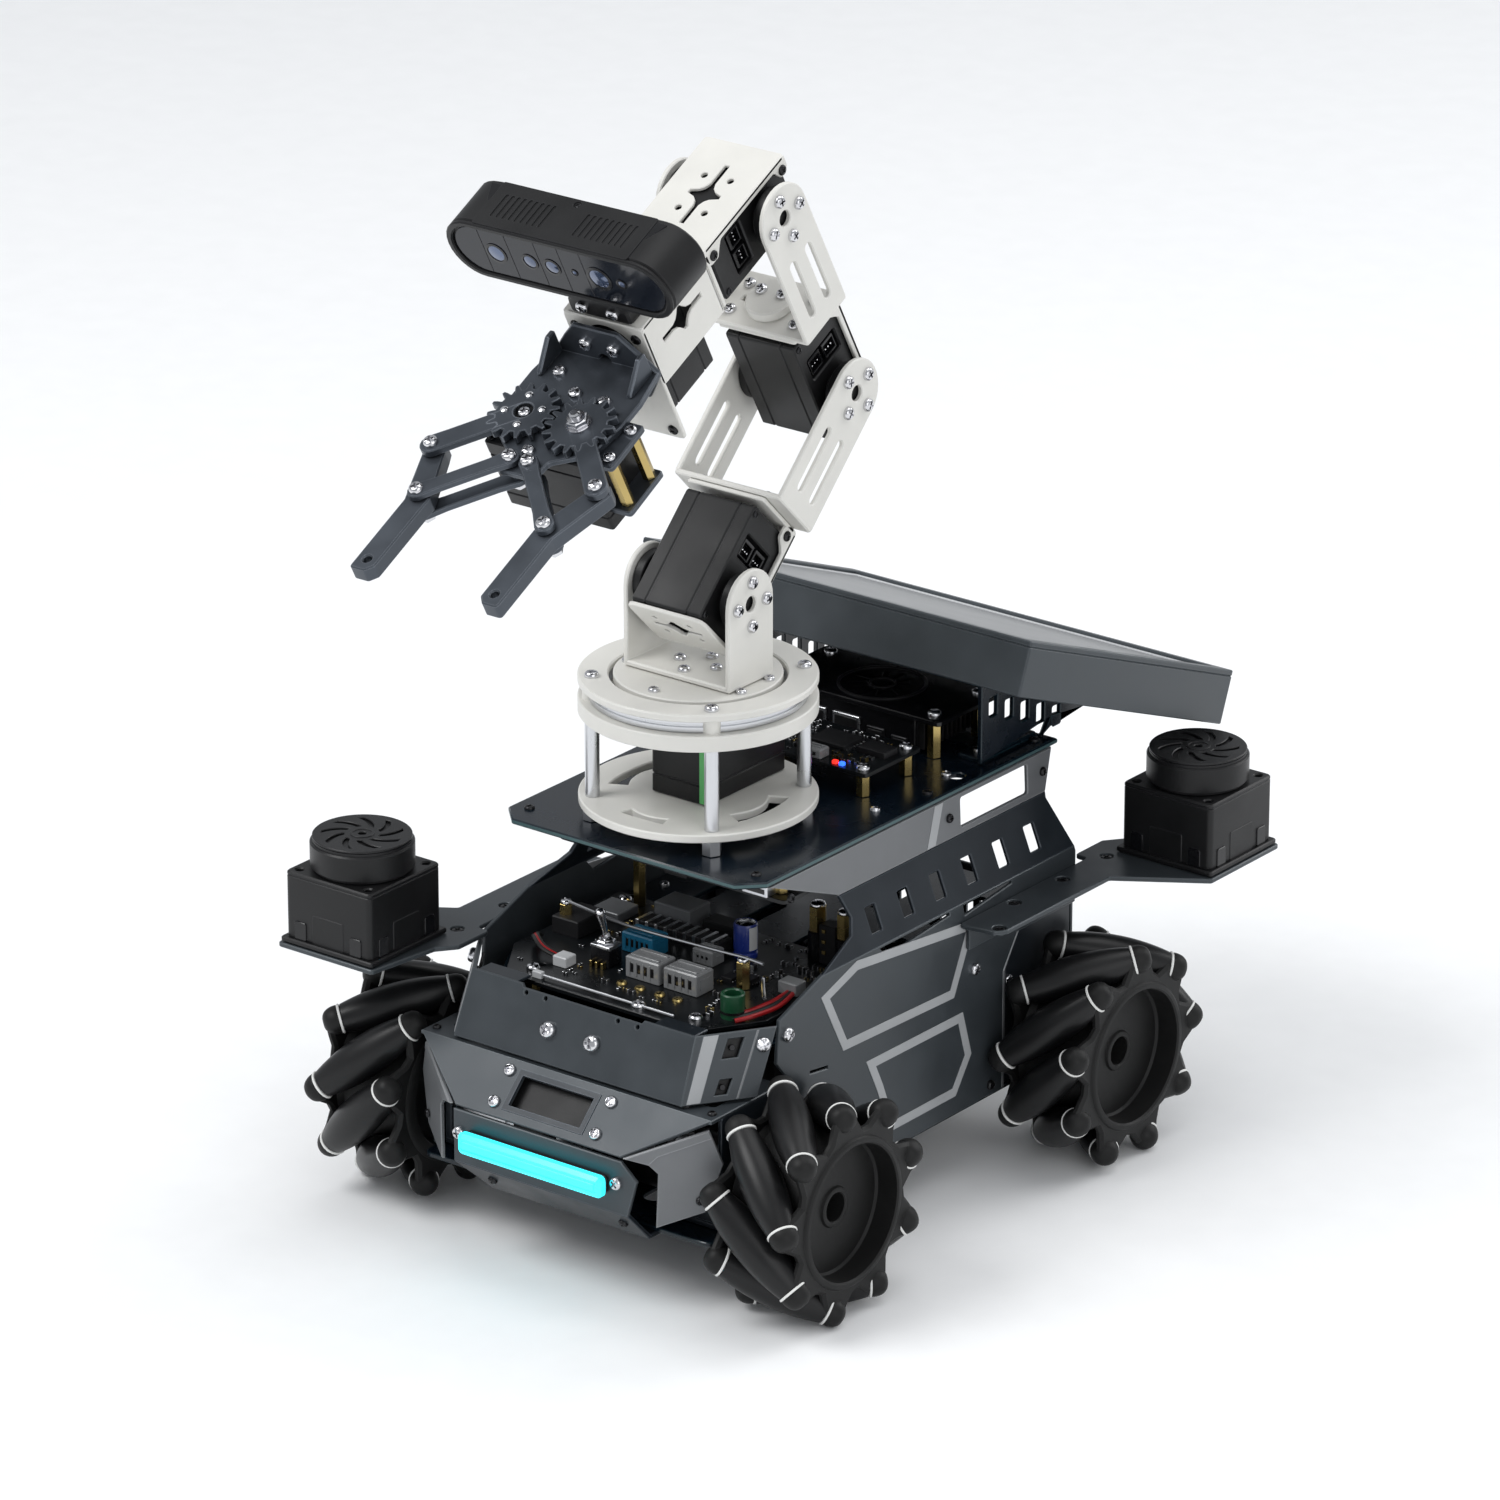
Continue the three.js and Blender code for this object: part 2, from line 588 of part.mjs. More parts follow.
function gripperBracket() {
  const floor = slabZ([
    [-22, -77], [22, -77], [24, -90], [24, -117], [9, -126], [7.6, -134.5],
    [-7.6, -134.5], [-9, -126], [-24, -117], [-24, -90],
  ], -2.6, -0.2);
  const face = block(-14, 14, -78.4, -76.2, -14, 14);
  const horn = rodY(HORN_R - 0.2, -77, -71.9, 0, 0);
  const holes = [
    rodZ(5.4, -4, 1, -GEAR_X, GEAR_Y, 16), rodZ(2.9, -4, 1, GEAR_X, GEAR_Y, 12),
    rodZ(1.9, -4, 1, -GEAR_X + ROOT.x, GEAR_Y + ROOT.y, 10),
    rodZ(1.9, -4, 1, GEAR_X - ROOT.x, GEAR_Y + ROOT.y, 10),
  ];
  return cut(join(floor, face, horn), ...holes);
}

function gripperServo() {
  const { width, length } = SERVO;
  return block(-GEAR_X - 11, length - GEAR_X - 11, GEAR_Y - width / 2, GEAR_Y + width / 2, -32.9, -2.9);
}

// Straight bar from (0, 0) to a point, with round ends.
function bar(x, y, halfWidth, z0, z1) {
  const turn = Math.atan2(y, x);
  const points = [];
  for (const [cx, cy, start] of [[0, 0, 90], [x, y, -90]]) {
    for (let i = 0; i <= 6; i += 1) {
      const a = turn + rad(start + i * 30);
      points.push([cx + halfWidth * Math.cos(a), cy + halfWidth * Math.sin(a)]);
    }
  }
  return slabZ(points, z0, z1);
}

const TEETH = 16;
// Gear with straight-sided teeth; `phase` is the angle of one tooth's middle, in degrees.
function gearOutline(phase) {
  const pitch = 360 / TEETH;
  const flank = [[-0.3, 10.4], [-0.2, 12], [-0.09, 13.2], [0.09, 13.2], [0.2, 12], [0.3, 10.4]];
  const points = [];
  for (let k = 0; k < TEETH; k += 1) {
    for (const [part, radius] of flank) {
      const a = rad(phase + (k + part) * pitch);
      points.push([radius * Math.cos(a), radius * Math.sin(a)]);
    }
  }
  return points;
}

// Gear, drive link and finger pin, about the gear's axis. `side` is -1 right, +1 left.
function gripperGear(side) {
  const reach = GRIP_LINK * Math.SQRT1_2;
  const wheel = slabZ(gearOutline(side < 0 ? 0 : 180 + 180 / TEETH), 0.1, 3.1);
  const link = bar(side * reach, -reach, 3.8, 0.1, 3.1);
  const post = side < 0 ? rodZ(5, -2.6, 1, 0, 0, 16) : rodZ(2.5, -2.6, 6, 0, 0, 12);
  const pin = rodZ(1.6, -6.2, 4.6, side * reach, -reach, 10);
  return join(wheel, link, post, pin);
}

// Upper and lower bars on two pins, about the follower's root.
function follower(side) {
  const reach = GRIP_LINK * Math.SQRT1_2;
  const upper = bar(side * reach, -reach, 3.3, 0.1, 2.6);
  const lower = bar(side * reach, -reach, 3.3, -9, -6.5);
  const root = rodZ(1.6, -9, 4.2, 0, 0, 10);
  const end = rodZ(1.6, -9, 4.2, side * reach, -reach, 10);
  return join(upper, lower, root, end);
}

// Finger about its drive pivot: it runs to the follower's pin, then straight ahead.
function finger(side) {
  const near = side * -ROOT.x;
  const far = ROOT.y - 31;
  const plate = slabZ([
    [side * 4.6, 1], [side * 2, 4.6], [side * -2.6, 4.2], [side * -4.6, 0],
    [near - side * 4.6, ROOT.y], [near - side * 4.6, far - 2], [near - side * 2, far - 5],
    [near + side * 4.4, far - 5], [near + side * 4.4, ROOT.y - 3],
  ], -6.2, -0.2);
  const holes = [
    rodZ(1.9, -8, 1, 0, 0, 10), rodZ(1.9, -8, 1, near, ROOT.y, 10), rodZ(1.5, -8, 1, near, far, 10),
  ];
  return cut(plate, ...holes);
}

function buildHand(wrist) {
  const hand = group(wrist, 0, 0, 0, HAND_TILT - ELBOW_TILT);
  const turned = group(hand, 0, 0, 0, 90);
  blackPlastic(turned, 'wrist_servo', servoBody());
  whitePaint(turned, 'wrist_channel', servoChannel(false));
  whitePaint(hand, 'roll_bracket', rollBracket());
  blackPlastic(hand, 'roll_servo', rollServo());
  blackPlastic(hand, 'depth_camera', depthCamera());
  darkPaint(hand, 'gripper_bracket', gripperBracket());
  blackPlastic(hand, 'gripper_servo', gripperServo());
  const reach = GRIP_LINK * Math.SQRT1_2;
  for (const [name, side] of [['right', -1], ['left', 1]]) {
    const x = side * GEAR_X;
    darkPaint(group(hand, x, GEAR_Y, 0), `gripper_gear_${name}`, gripperGear(side));
    darkPaint(group(hand, x - side * ROOT.x, GEAR_Y + ROOT.y, 0), `follower_${name}`, follower(side));
    darkPaint(group(hand, x + side * reach, GEAR_Y - reach, 0), `finger_${name}`, finger(side));
  }
}

function buildArm() {
  const base = group(robot, 0, ARM_Y, 0);
  whitePaint(base, 'arm_base_plate', armBasePlate());
  whitePaint(base, 'arm_base_ring', armBaseRing());
  blackPlastic(base, 'base_servo', baseServo());
  whitePaint(base, 'turntable', turntable());
  whitePaint(base, 'shoulder_bracket', shoulderBracket());
  const shoulder = group(base, 0, 0, SHOULDER_Z, SHOULDER_TILT);
  blackPlastic(shoulder, 'shoulder_servo', servoBody());
  whitePaint(shoulder, 'lower_arm_channel', servoChannel(true));
  whitePaint(shoulder, 'lower_arm_fork', fork(false));
  const elbow = group(shoulder, 0, 0, LINK, ELBOW_TILT - SHOULDER_TILT);
  blackPlastic(elbow, 'elbow_servo', servoBody());
  whitePaint(elbow, 'upper_arm_channel', servoChannel(false));
  whitePaint(elbow, 'upper_arm_fork', fork(true));
  buildHand(group(elbow, 0, 0, LINK));
}

buildShell();
buildElectronics();
buildDrive();
buildLidars();
buildDisplay();
buildArm();

// Stand the robot on z = 0 with the origin in the middle of its footprint.
const bounds = new THREE.Box3().setFromObject(robot, true);
robot.position.set(-(bounds.min.x + bounds.max.x) / 2, -(bounds.min.y + bounds.max.y) / 2, -bounds.min.z);

export default robot;
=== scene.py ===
"""Looks of a mecanum wheel robot with an arm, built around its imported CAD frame.

Shapes are given in millimetres in a local frame and placed by a matrix that also scales to metres.
"""

import json
import math
import random

import bmesh
import bpy
from mathutils import Matrix, Vector
from mathutils.geometry import tessellate_polygon


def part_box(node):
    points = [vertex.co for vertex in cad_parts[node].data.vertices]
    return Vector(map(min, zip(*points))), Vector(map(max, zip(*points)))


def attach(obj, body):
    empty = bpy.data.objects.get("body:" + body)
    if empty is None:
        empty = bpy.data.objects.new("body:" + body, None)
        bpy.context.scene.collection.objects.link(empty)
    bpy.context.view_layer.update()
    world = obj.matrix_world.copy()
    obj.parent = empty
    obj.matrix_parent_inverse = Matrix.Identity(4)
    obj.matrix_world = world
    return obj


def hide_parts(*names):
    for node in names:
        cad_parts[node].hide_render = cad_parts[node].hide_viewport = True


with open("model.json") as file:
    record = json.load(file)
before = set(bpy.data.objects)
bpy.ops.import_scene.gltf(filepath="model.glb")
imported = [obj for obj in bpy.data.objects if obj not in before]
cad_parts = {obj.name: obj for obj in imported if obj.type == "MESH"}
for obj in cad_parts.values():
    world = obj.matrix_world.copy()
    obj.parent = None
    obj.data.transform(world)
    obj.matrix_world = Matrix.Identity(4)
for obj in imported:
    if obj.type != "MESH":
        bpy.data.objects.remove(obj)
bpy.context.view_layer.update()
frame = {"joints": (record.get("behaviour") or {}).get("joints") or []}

MM = 0.001
TAU = 2 * math.pi
JOINTS = {j["name"]: j for j in frame["joints"]}
EDGE = 0.3              # usual chamfer of a sheet's edge
SERVO_WIDTH = 24.7
SERVO_HALF_HEIGHT = 15
SERVO_BACK = 14         # horn axis to the near end of the servo
SERVO_FRONT = 31        # horn axis to its far end
EAR_IN = 21.3
EAR_T = 2
EAR_R = 12.5
LINK = 85
SCREW_CIRCLE = 8        # screws round a horn


# ---------- frames ----------
def joint_at(name):
    return Vector(JOINTS[name]["pos_m"])


def local_frame(origin, x_axis, y_axis, z_axis):
    """Millimetres in the axes given to metres in the row frame."""
    turn = Matrix((x_axis, y_axis, z_axis)).transposed().to_4x4()
    return Matrix.Translation(origin) @ turn @ Matrix.Scale(MM, 4)


def along(origin, target):
    """Frame with +X kept and +Z from the origin to the target."""
    z_axis = (target - origin).normalized()
    x_axis = Vector((1, 0, 0))
    return local_frame(origin, x_axis, z_axis.cross(x_axis), z_axis)


def turned(matrix, x=0, y=0, z=0, move=(0, 0, 0)):
    """The frame moved by `move` millimetres and then turned by degrees about its own axes."""
    spin = Matrix.Rotation(math.radians(z), 4, "Z") @ Matrix.Rotation(math.radians(y), 4, "Y")
    return matrix @ Matrix.Translation(move) @ spin @ Matrix.Rotation(math.radians(x), 4, "X")


UP = Vector((0, 0, 1))
SIDE = Vector((1, 0, 0))
REAR = Vector((0, 1, 0))
DECK_REAR = 101
CHASSIS = local_frame(Vector((0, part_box("top_deck")[1].y - DECK_REAR * MM, 0)), SIDE, REAR, UP)
YAW = joint_at("base_yaw")
ARM_BASE = local_frame(Vector((YAW.x, YAW.y, 0)), SIDE, REAR, UP)
SHOULDER = joint_at("shoulder_pitch")
ELBOW = joint_at("elbow_pitch")
WRIST = joint_at("wrist_pitch")
FORWARD = Vector(JOINTS["wrist_roll"]["axis"])
HAND_UP = Vector(JOINTS["gripper_close"]["axis"])
LOWER_ARM = along(SHOULDER, ELBOW)
UPPER_ARM = along(ELBOW, WRIST)
HAND = local_frame(WRIST, SIDE, -FORWARD, HAND_UP)
WRIST_LINK = along(WRIST, WRIST + FORWARD)


# ---------- outlines ----------
def circle(radius, cx=0, cy=0, steps=20):
    return [(cx + radius * math.cos(TAU * i / steps),
             cy + radius * math.sin(TAU * i / steps)) for i in range(steps)]


def rounded(points, radius, steps=4):
    """The polygon with each corner replaced by an arc."""
    corners = [Vector(p) for p in points]
    path = []
    for i, corner in enumerate(corners):
        to_last = corners[i - 1] - corner
        to_next = corners[(i + 1) % len(corners)] - corner
        half = to_last.angle(to_next) / 2
        reach = min(radius / math.tan(half), to_last.length * 0.49, to_next.length * 0.49)
        start = corner + to_last.normalized() * reach
        end = corner + to_next.normalized() * reach
        for k in range(steps + 1):
            t = k / steps
            path.append(tuple(start * (1 - t) ** 2 + corner * 2 * t * (1 - t) + end * t ** 2))
    return path


def rectangle(x0, x1, y0, y1, radius=0):
    points = [(x0, y0), (x1, y0), (x1, y1), (x0, y1)]
    return rounded(points, radius) if radius else points


def slot_hole(x0, y0, x1, y1, radius, steps=6):
    """A straight slot with round ends."""
    turn = math.atan2(y1 - y0, x1 - x0)
    path = []
    for cx, cy, start in ((x1, y1, -math.pi / 2), (x0, y0, math.pi / 2)):
        for i in range(steps + 1):
            a = turn + start + math.pi * i / steps
            path.append((cx + radius * math.cos(a), cy + radius * math.sin(a)))
    return path


def star_hole(cx, cy, half_width=6.6, half_length=14.5, slit=1.0, turn=False):
    """A long slit whose middle opens into a four-pointed star with hollow sides."""
    quarter = [(slit, half_length), (slit, 5.4), (1.9, 3.2), (3.4, 1.8), (half_width, 0.7)]
    right = quarter + [(x, -y) for x, y in reversed(quarter)]
    path = right + [(-x, -y) for x, y in right]
    return [(cx + y, cy + x) if turn else (cx + x, cy + y) for x, y in path]


def signed_area(path):
    return sum(a[0] * b[1] - b[0] * a[1] for a, b in zip(path, path[1:] + path[:1])) / 2


def counterclockwise(path):
    return path if signed_area(path) > 0 else path[::-1]


def inset(path, distance):
    """The closed path moved to its left by a distance, corner by corner."""
    moved = []
    for i, here in enumerate(path):
        here = Vector(here)
        before = (here - Vector(path[i - 1])).normalized()
        after = (Vector(path[(i + 1) % len(path)]) - here).normalized()
        middle = before + after
        if middle.length < 1e-6:
            middle = before
        normal = Vector((-middle.y, middle.x)).normalized()
        scale = max(0.5, normal.dot(Vector((-before.y, before.x))))
        moved.append(tuple(here + normal * distance / scale))
    return moved


# ---------- pieces ----------
class Piece:
    """Shapes in millimetres, in one local frame, that become one Blender object."""

    def __init__(self, place):
        self.place = place
        self.bm = bmesh.new()
        self.materials = []

    def _slot(self, material):
        if material not in self.materials:
            self.materials.append(material)
        return self.materials.index(material)

    def add(self, points, faces, material, place=None):
        index = self._slot(material)
        matrix = place or Matrix.Identity(4)
        verts = [self.bm.verts.new(matrix @ Vector(p)) for p in points]
        for face in faces:
            made = self.bm.faces.new([verts[i] for i in face])
            made.material_index = index
            made.smooth = True

    def plate(self, path, z0, z1, material, holes=(), edge=EDGE, place=None):
        """A flat plate with chamfered edges and holes; paths lie in the frame's XY plane."""
        rings = [counterclockwise(path)]
        rings += [h if signed_area(h) < 0 else h[::-1] for h in holes]
        edge = min(edge, (z1 - z0) * 0.45)
        levels = [(edge, z1), (0, z1 - edge), (0, z0 + edge), (edge, z0)]
        points, starts = [], []
        for depth, z in levels:
            starts.append(len(points))
            for ring in rings:
                moved = inset(ring, depth) if depth else ring
                points += [(x, y, z) for x, y in moved]
        flat, first = [], 0
        for ring in rings:
            flat.append([Vector(p) for p in points[first:first + len(ring)]])
            first += len(ring)
        faces = []
        for a, b, c in tessellate_polygon(flat):
            turn = (Vector(points[b]) - Vector(points[a])).cross(Vector(points[c]) - Vector(points[a])).z
            top = (a, b, c) if turn > 0 else (a, c, b)
            faces.append(top)
            faces.append(tuple(i + starts[3] for i in reversed(top)))
        for upper, lower in zip(starts[:-1], starts[1:]):
            first = 0
            for ring in rings:
                n = len(ring)
                for i in range(n):
                    j = (i + 1) % n
                    faces.append((upper + first + i, lower + first + i, lower + first + j, upper + first + j))
                first += n
        self.add(points, faces, material, place)

    def box(self, x0, x1, y0, y1, z0, z1, material, edge=EDGE, corner=None, place=None):
        self.plate(rectangle(x0, x1, y0, y1, edge if corner is None else corner), z0, z1, material, (),
                   edge, place)

    def lathe(self, profile, material, steps=32, place=None):
        """Turns (radius, z) points about Z. Ends on the axis close it; otherwise it is a closed ring."""
        points, rows = [], []
        for radius, z in profile:
            rows.append((len(points), 1 if radius < 1e-6 else steps))
            for i in range(rows[-1][1]):
                a = TAU * i / steps
                points.append((radius * math.cos(a), radius * math.sin(a), z))
        pairs = list(zip(rows, rows[1:]))
        if rows[0][1] > 1:
            pairs.append((rows[-1], rows[0]))
        faces = []
        for (low, low_n), (high, high_n) in pairs:
            for i in range(steps):
                j = (i + 1) % steps
                quad = [low + i % low_n, low + j % low_n, high + j % high_n, high + i % high_n]
                quad = tuple(dict.fromkeys(quad))
                if len(quad) > 2:
                    faces.append(quad)
        self.add(points, faces, material, place)

    def rod(self, start, end, radius, material, steps=20, edge=0.15):
        """A cylinder with chamfered ends between two points."""
        start, end = Vector(start), Vector(end)
        length = (end - start).length
        turn = (end - start).to_track_quat("Z", "Y").to_matrix().to_4x4()
        profile = [(0, 0), (radius - edge, 0), (radius, edge), (radius, length - edge),
                   (radius - edge, length), (0, length)]
        self.lathe(profile, material, steps, Matrix.Translation(start) @ turn)

    def wire(self, path, radius, material, sides=8, smooth_steps=5):
        """A round wire through the points, smoothed as a spline."""
        points = [Vector(p) for p in path]
        line = []
        for i in range(len(points) - 1):
            p0, p1 = points[max(i - 1, 0)], points[i]
            p2, p3 = points[i + 1], points[min(i + 2, len(points) - 1)]
            for k in range(smooth_steps):
                t = k / smooth_steps
                line.append(0.5 * (2 * p1 + (p2 - p0) * t + (2 * p0 - 5 * p1 + 4 * p2 - p3) * t ** 2
                                   + (3 * p1 - p0 - 3 * p2 + p3) * t ** 3))
        line.append(points[-1])
        normal = (line[1] - line[0]).orthogonal().normalized()
        verts, faces = [], []
        for i, centre in enumerate(line):
            ahead = (line[min(i + 1, len(line) - 1)] - line[max(i - 1, 0)]).normalized()
            normal = (normal - ahead * normal.dot(ahead)).normalized()
            other = ahead.cross(normal)
            for k in range(sides):
                a = TAU * k / sides
                verts.append(tuple(centre + (normal * math.cos(a) + other * math.sin(a)) * radius))
        for i in range(len(line) - 1):
            for k in range(sides):
                j = (k + 1) % sides
                low, high = i * sides, (i + 1) * sides
                faces.append((low + k, low + j, high + j, high + k))
        faces.append(tuple(reversed(range(sides))))
        faces.append(tuple((len(line) - 1) * sides + k for k in range(sides)))
        self.add(verts, faces, material)

    def screw(self, at, axis, radius=2.5, material=None, height=None, spin=0.4):
        """A pan head with a cross recess, whose underside sits at `at`."""
        height = height or radius * 0.72
        material = material or CHROME
        turn = Vector(axis).to_track_quat("Z", "Y").to_matrix().to_4x4()
        place = Matrix.Translation(at) @ turn @ Matrix.Rotation(spin, 4, "Z")
        arm, reach = radius * 0.15, radius * 0.6
        cross = []
        for k in range(4):
            a = k * math.pi / 2
            for x, y in ((reach, -arm), (reach, arm), (arm, arm)):
                cross.append((x * math.cos(a) - y * math.sin(a), x * math.sin(a) + y * math.cos(a)))
        steps = 20
        points, faces = [], []
        for share, rise in ((1, 0), (1, 0.4), (0.93, 0.7), (0.76, 0.93)):
            points += [(x, y, height * rise) for x, y in circle(radius * share, steps=steps)]
        for row in range(3):
            for i in range(steps):
                j = (i + 1) % steps
                faces.append((row * steps + i, row * steps + j, (row + 1) * steps + j, (row + 1) * steps + i))
        faces.append(tuple(reversed(range(steps))))
        rim = points[3 * steps:]
        top = len(points)
        points += [(x, y, height) for x, y in cross]
        rings = [[Vector(p) for p in rim], [Vector(p) for p in reversed(points[top:])]]
        for tri in tessellate_polygon(rings):
            ids = [3 * steps + i if i < steps else top + len(cross) - 1 - (i - steps) for i in tri]
            a, b, c = (Vector(points[i]) for i in ids)
            faces.append(tuple(ids) if (b - a).cross(c - a).z > 0 else tuple(reversed(ids)))
        floor = len(points)
        points += [(x * 0.8, y * 0.8, height * 0.35) for x, y in cross]
        n = len(cross)
        for i in range(n):
            j = (i + 1) % n
            faces.append((top + i, top + j, floor + j, floor + i))
        faces.append(tuple(range(floor, floor + n)))
        self.add(points, faces, material, place)

    def nut(self, at, axis, radius, height, material):
        turn = Vector(axis).to_track_quat("Z", "Y").to_matrix().to_4x4()
        self.plate(circle(radius, steps=6), 0, height, material, [circle(radius * 0.5, steps=16)],
                   radius * 0.12, Matrix.Translation(at) @ turn)

    def make(self, name, body, replaces=(), slot=None, smooth=32):
        """Writes the object, rides it on its body and hides the imported parts it stands in for; its slot
        argument is not used.
        """
        mesh = bpy.data.meshes.new(name)
        self.bm.transform(self.place)
        bmesh.ops.recalc_face_normals(self.bm, faces=self.bm.faces)
        self.bm.to_mesh(mesh)
        self.bm.free()
        for material in self.materials:
            mesh.materials.append(material)
        mesh.set_sharp_from_angle(angle=math.radians(smooth))
        piece = bpy.data.objects.new(name, mesh)
        bpy.context.scene.collection.objects.link(piece)
        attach(piece, body)
        if replaces:
            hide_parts(*replaces)
        return piece


# ---------- materials ----------
def edge_mask(tree, radius, low, high):
    """1 on convex edges: where the rounded normal leaves the true one."""
    bevel = tree.nodes.new("ShaderNodeBevel")
    bevel.samples = 4
    bevel.inputs["Radius"].default_value = radius
    geometry = tree.nodes.new("ShaderNodeNewGeometry")
    dot = tree.nodes.new("ShaderNodeVectorMath")
    dot.operation = "DOT_PRODUCT"
    tree.links.new(bevel.outputs[0], dot.inputs[0])
    tree.links.new(geometry.outputs["Normal"], dot.inputs[1])
    ramp = tree.nodes.new("ShaderNodeMapRange")
    ramp.inputs["From Min"].default_value = low
    ramp.inputs["From Max"].default_value = high
    tree.links.new(dot.outputs["Value"], ramp.inputs["Value"])
    return ramp.outputs[0]


def noise(tree, scale, detail=3, stretch=None):
    coords = tree.nodes.new("ShaderNodeTexCoord")
    out = coords.outputs["Object"]
    if stretch:
        mapping = tree.nodes.new("ShaderNodeMapping")
        mapping.inputs["Scale"].default_value = stretch
        tree.links.new(out, mapping.inputs["Vector"])
        out = mapping.outputs[0]
    texture = tree.nodes.new("ShaderNodeTexNoise")
    texture.inputs["Scale"].default_value = scale
    texture.inputs["Detail"].default_value = detail
    tree.links.new(out, texture.inputs["Vector"])
    return texture.outputs["Fac"]


def blend_colours(tree, mask, low, high):
    mix = tree.nodes.new("ShaderNodeMix")
    mix.data_type = "RGBA"
    mix.inputs["A"].default_value = (*low, 1)
    mix.inputs["B"].default_value = (*high, 1)
    tree.links.new(mask, mix.inputs["Factor"])
    return mix.outputs["Result"]


def spread(tree, value, low, high):
    """Maps a noise's middle range to low..high."""
    ramp = tree.nodes.new("ShaderNodeMapRange")
    ramp.inputs["From Min"].default_value = 0.3
    ramp.inputs["From Max"].default_value = 0.7
    ramp.inputs["To Min"].default_value = low
    ramp.inputs["To Max"].default_value = high
    tree.links.new(value, ramp.inputs["Value"])
    return ramp.outputs[0]


def surface(name, colour, rough, metal=0.0, grain=900, bump=0.02, vary=0.12, wear=None, coat=0.0,
            stretch=None, rough_vary=0.06, specular=0.5, distance=0.0002):
    """Colour and roughness that vary a little, a fine grain as bump, and lighter worn edges."""
    material = bpy.data.materials.new(name)
    material.use_nodes = True
    tree = material.node_tree
    shader = tree.nodes["Principled BSDF"]
    shader.inputs["Metallic"].default_value = metal
    shader.inputs["Specular IOR Level"].default_value = specular
    if coat:
        shader.inputs["Coat Weight"].default_value = coat
        shader.inputs["Coat Roughness"].default_value = 0.12
    broad = noise(tree, 60, 4, stretch)
    dark = [c * (1 - vary) for c in colour]
    light = [min(1, c * (1 + vary)) for c in colour]
    out = blend_colours(tree, spread(tree, broad, 0, 1), dark, light)
    if wear:
        mix = tree.nodes.new("ShaderNodeMix")
        mix.data_type = "RGBA"
        tree.links.new(edge_mask(tree, 0.0006, 0.985, 0.86), mix.inputs["Factor"])
        tree.links.new(out, mix.inputs["A"])
        mix.inputs["B"].default_value = (*wear, 1)
        out = mix.outputs["Result"]
    tree.links.new(out, shader.inputs["Base Color"])
    fine = noise(tree, grain, 2, stretch)
    tree.links.new(spread(tree, broad, rough - rough_vary, rough + rough_vary), shader.inputs["Roughness"])
    grain_bump = tree.nodes.new("ShaderNodeBump")
    grain_bump.inputs["Strength"].default_value = bump
    grain_bump.inputs["Distance"].default_value = distance
    tree.links.new(fine, grain_bump.inputs["Height"])
    tree.links.new(grain_bump.outputs[0], shader.inputs["Normal"])
    return material


SLATE = surface("slate_paint", (0.045, 0.053, 0.060), 0.38, 0.3, 2600, 0.10, 0.10, (0.10, 0.115, 0.125))
NAVY = surface("navy_paint", (0.003, 0.007, 0.013), 0.25, 0.1, 2200, 0.04, 0.15, (0.015, 0.04, 0.05),
               coat=0.1, specular=0.4)
SLATE_DARK = surface("dark_slate_paint", (0.015, 0.020, 0.026), 0.34, 0.3, 2600, 0.10, 0.10,
                     (0.075, 0.09, 0.11))
TEAL_EDGE = surface("deck_edge_paint", (0.05, 0.10, 0.105), 0.35, 0.3, 2200, 0.05, 0.1)
GREY = surface("grey_paint", (0.15, 0.156, 0.164), 0.40, 0.25, 2600, 0.10, 0.08, (0.32, 0.33, 0.34))
STRIPE = surface("stripe_paint", (0.36, 0.37, 0.38), 0.45, 0.1, 2600, 0.08, 0.06)
WHITE = surface("white_powder_coat", (0.70, 0.69, 0.65), 0.42, 0.0, 3200, 0.16, 0.03, (0.80, 0.79, 0.76))
ANODISED = surface("gripper_anodised", (0.075, 0.085, 0.10), 0.36, 0.75, 2400, 0.06, 0.12, (0.22, 0.24, 0.27))
PLASTIC = surface("black_plastic", (0.007, 0.007, 0.0075), 0.40, 0.0, 3600, 0.22, 0.15, (0.02, 0.02, 0.022),
                  specular=0.32)
GLOSS_BLACK = surface("gloss_black", (0.005, 0.005, 0.006), 0.2, 0.0, 1200, 0.02, 0.1, coat=0.1,
                      specular=0.35)
RUBBER = surface("roller_rubber", (0.006, 0.006, 0.0065), 0.38, 0.0, 1500, 0.12, 0.2, specular=0.34)
HUB = surface("hub_plastic", (0.009, 0.009, 0.009), 0.5, 0.0, 3000, 0.25, 0.15, (0.02, 0.02, 0.02),
              specular=0.25)
WASHER = surface("white_nylon", (0.80, 0.80, 0.78), 0.4, 0.0, 1500, 0.05, 0.04)
CHROME = surface("polished_steel", (0.66, 0.66, 0.68), 0.17, 1.0, 1500, 0.03, 0.06)
DARK_SCREW = surface("black_oxide", (0.03, 0.03, 0.032), 0.28, 0.8, 1500, 0.05, 0.1)
BRASS = surface("brass", (0.50, 0.38, 0.15), 0.26, 1.0, 1500, 0.04, 0.08)
ALUMINIUM = surface("turned_aluminium", (0.62, 0.63, 0.65), 0.28, 1.0, 2400, 0.04, 0.02, rough_vary=0.02)
LAMINATE = surface("board_laminate", (0.005, 0.006, 0.007), 0.3, 0.0, 500, 0.08, 0.3, coat=0.1, specular=0.3)
CHIP = surface("chip_epoxy", (0.010, 0.010, 0.011), 0.5, 0.0, 4000, 0.2, 0.15, specular=0.3)
SOCKET_WHITE = surface("socket_nylon", (0.55, 0.56, 0.57), 0.38, 0.0, 1500, 0.05, 0.08)
SOCKET_CLEAR = surface("clear_nylon", (0.21, 0.215, 0.22), 0.3, 0.0, 1500, 0.05, 0.12, coat=0.3)
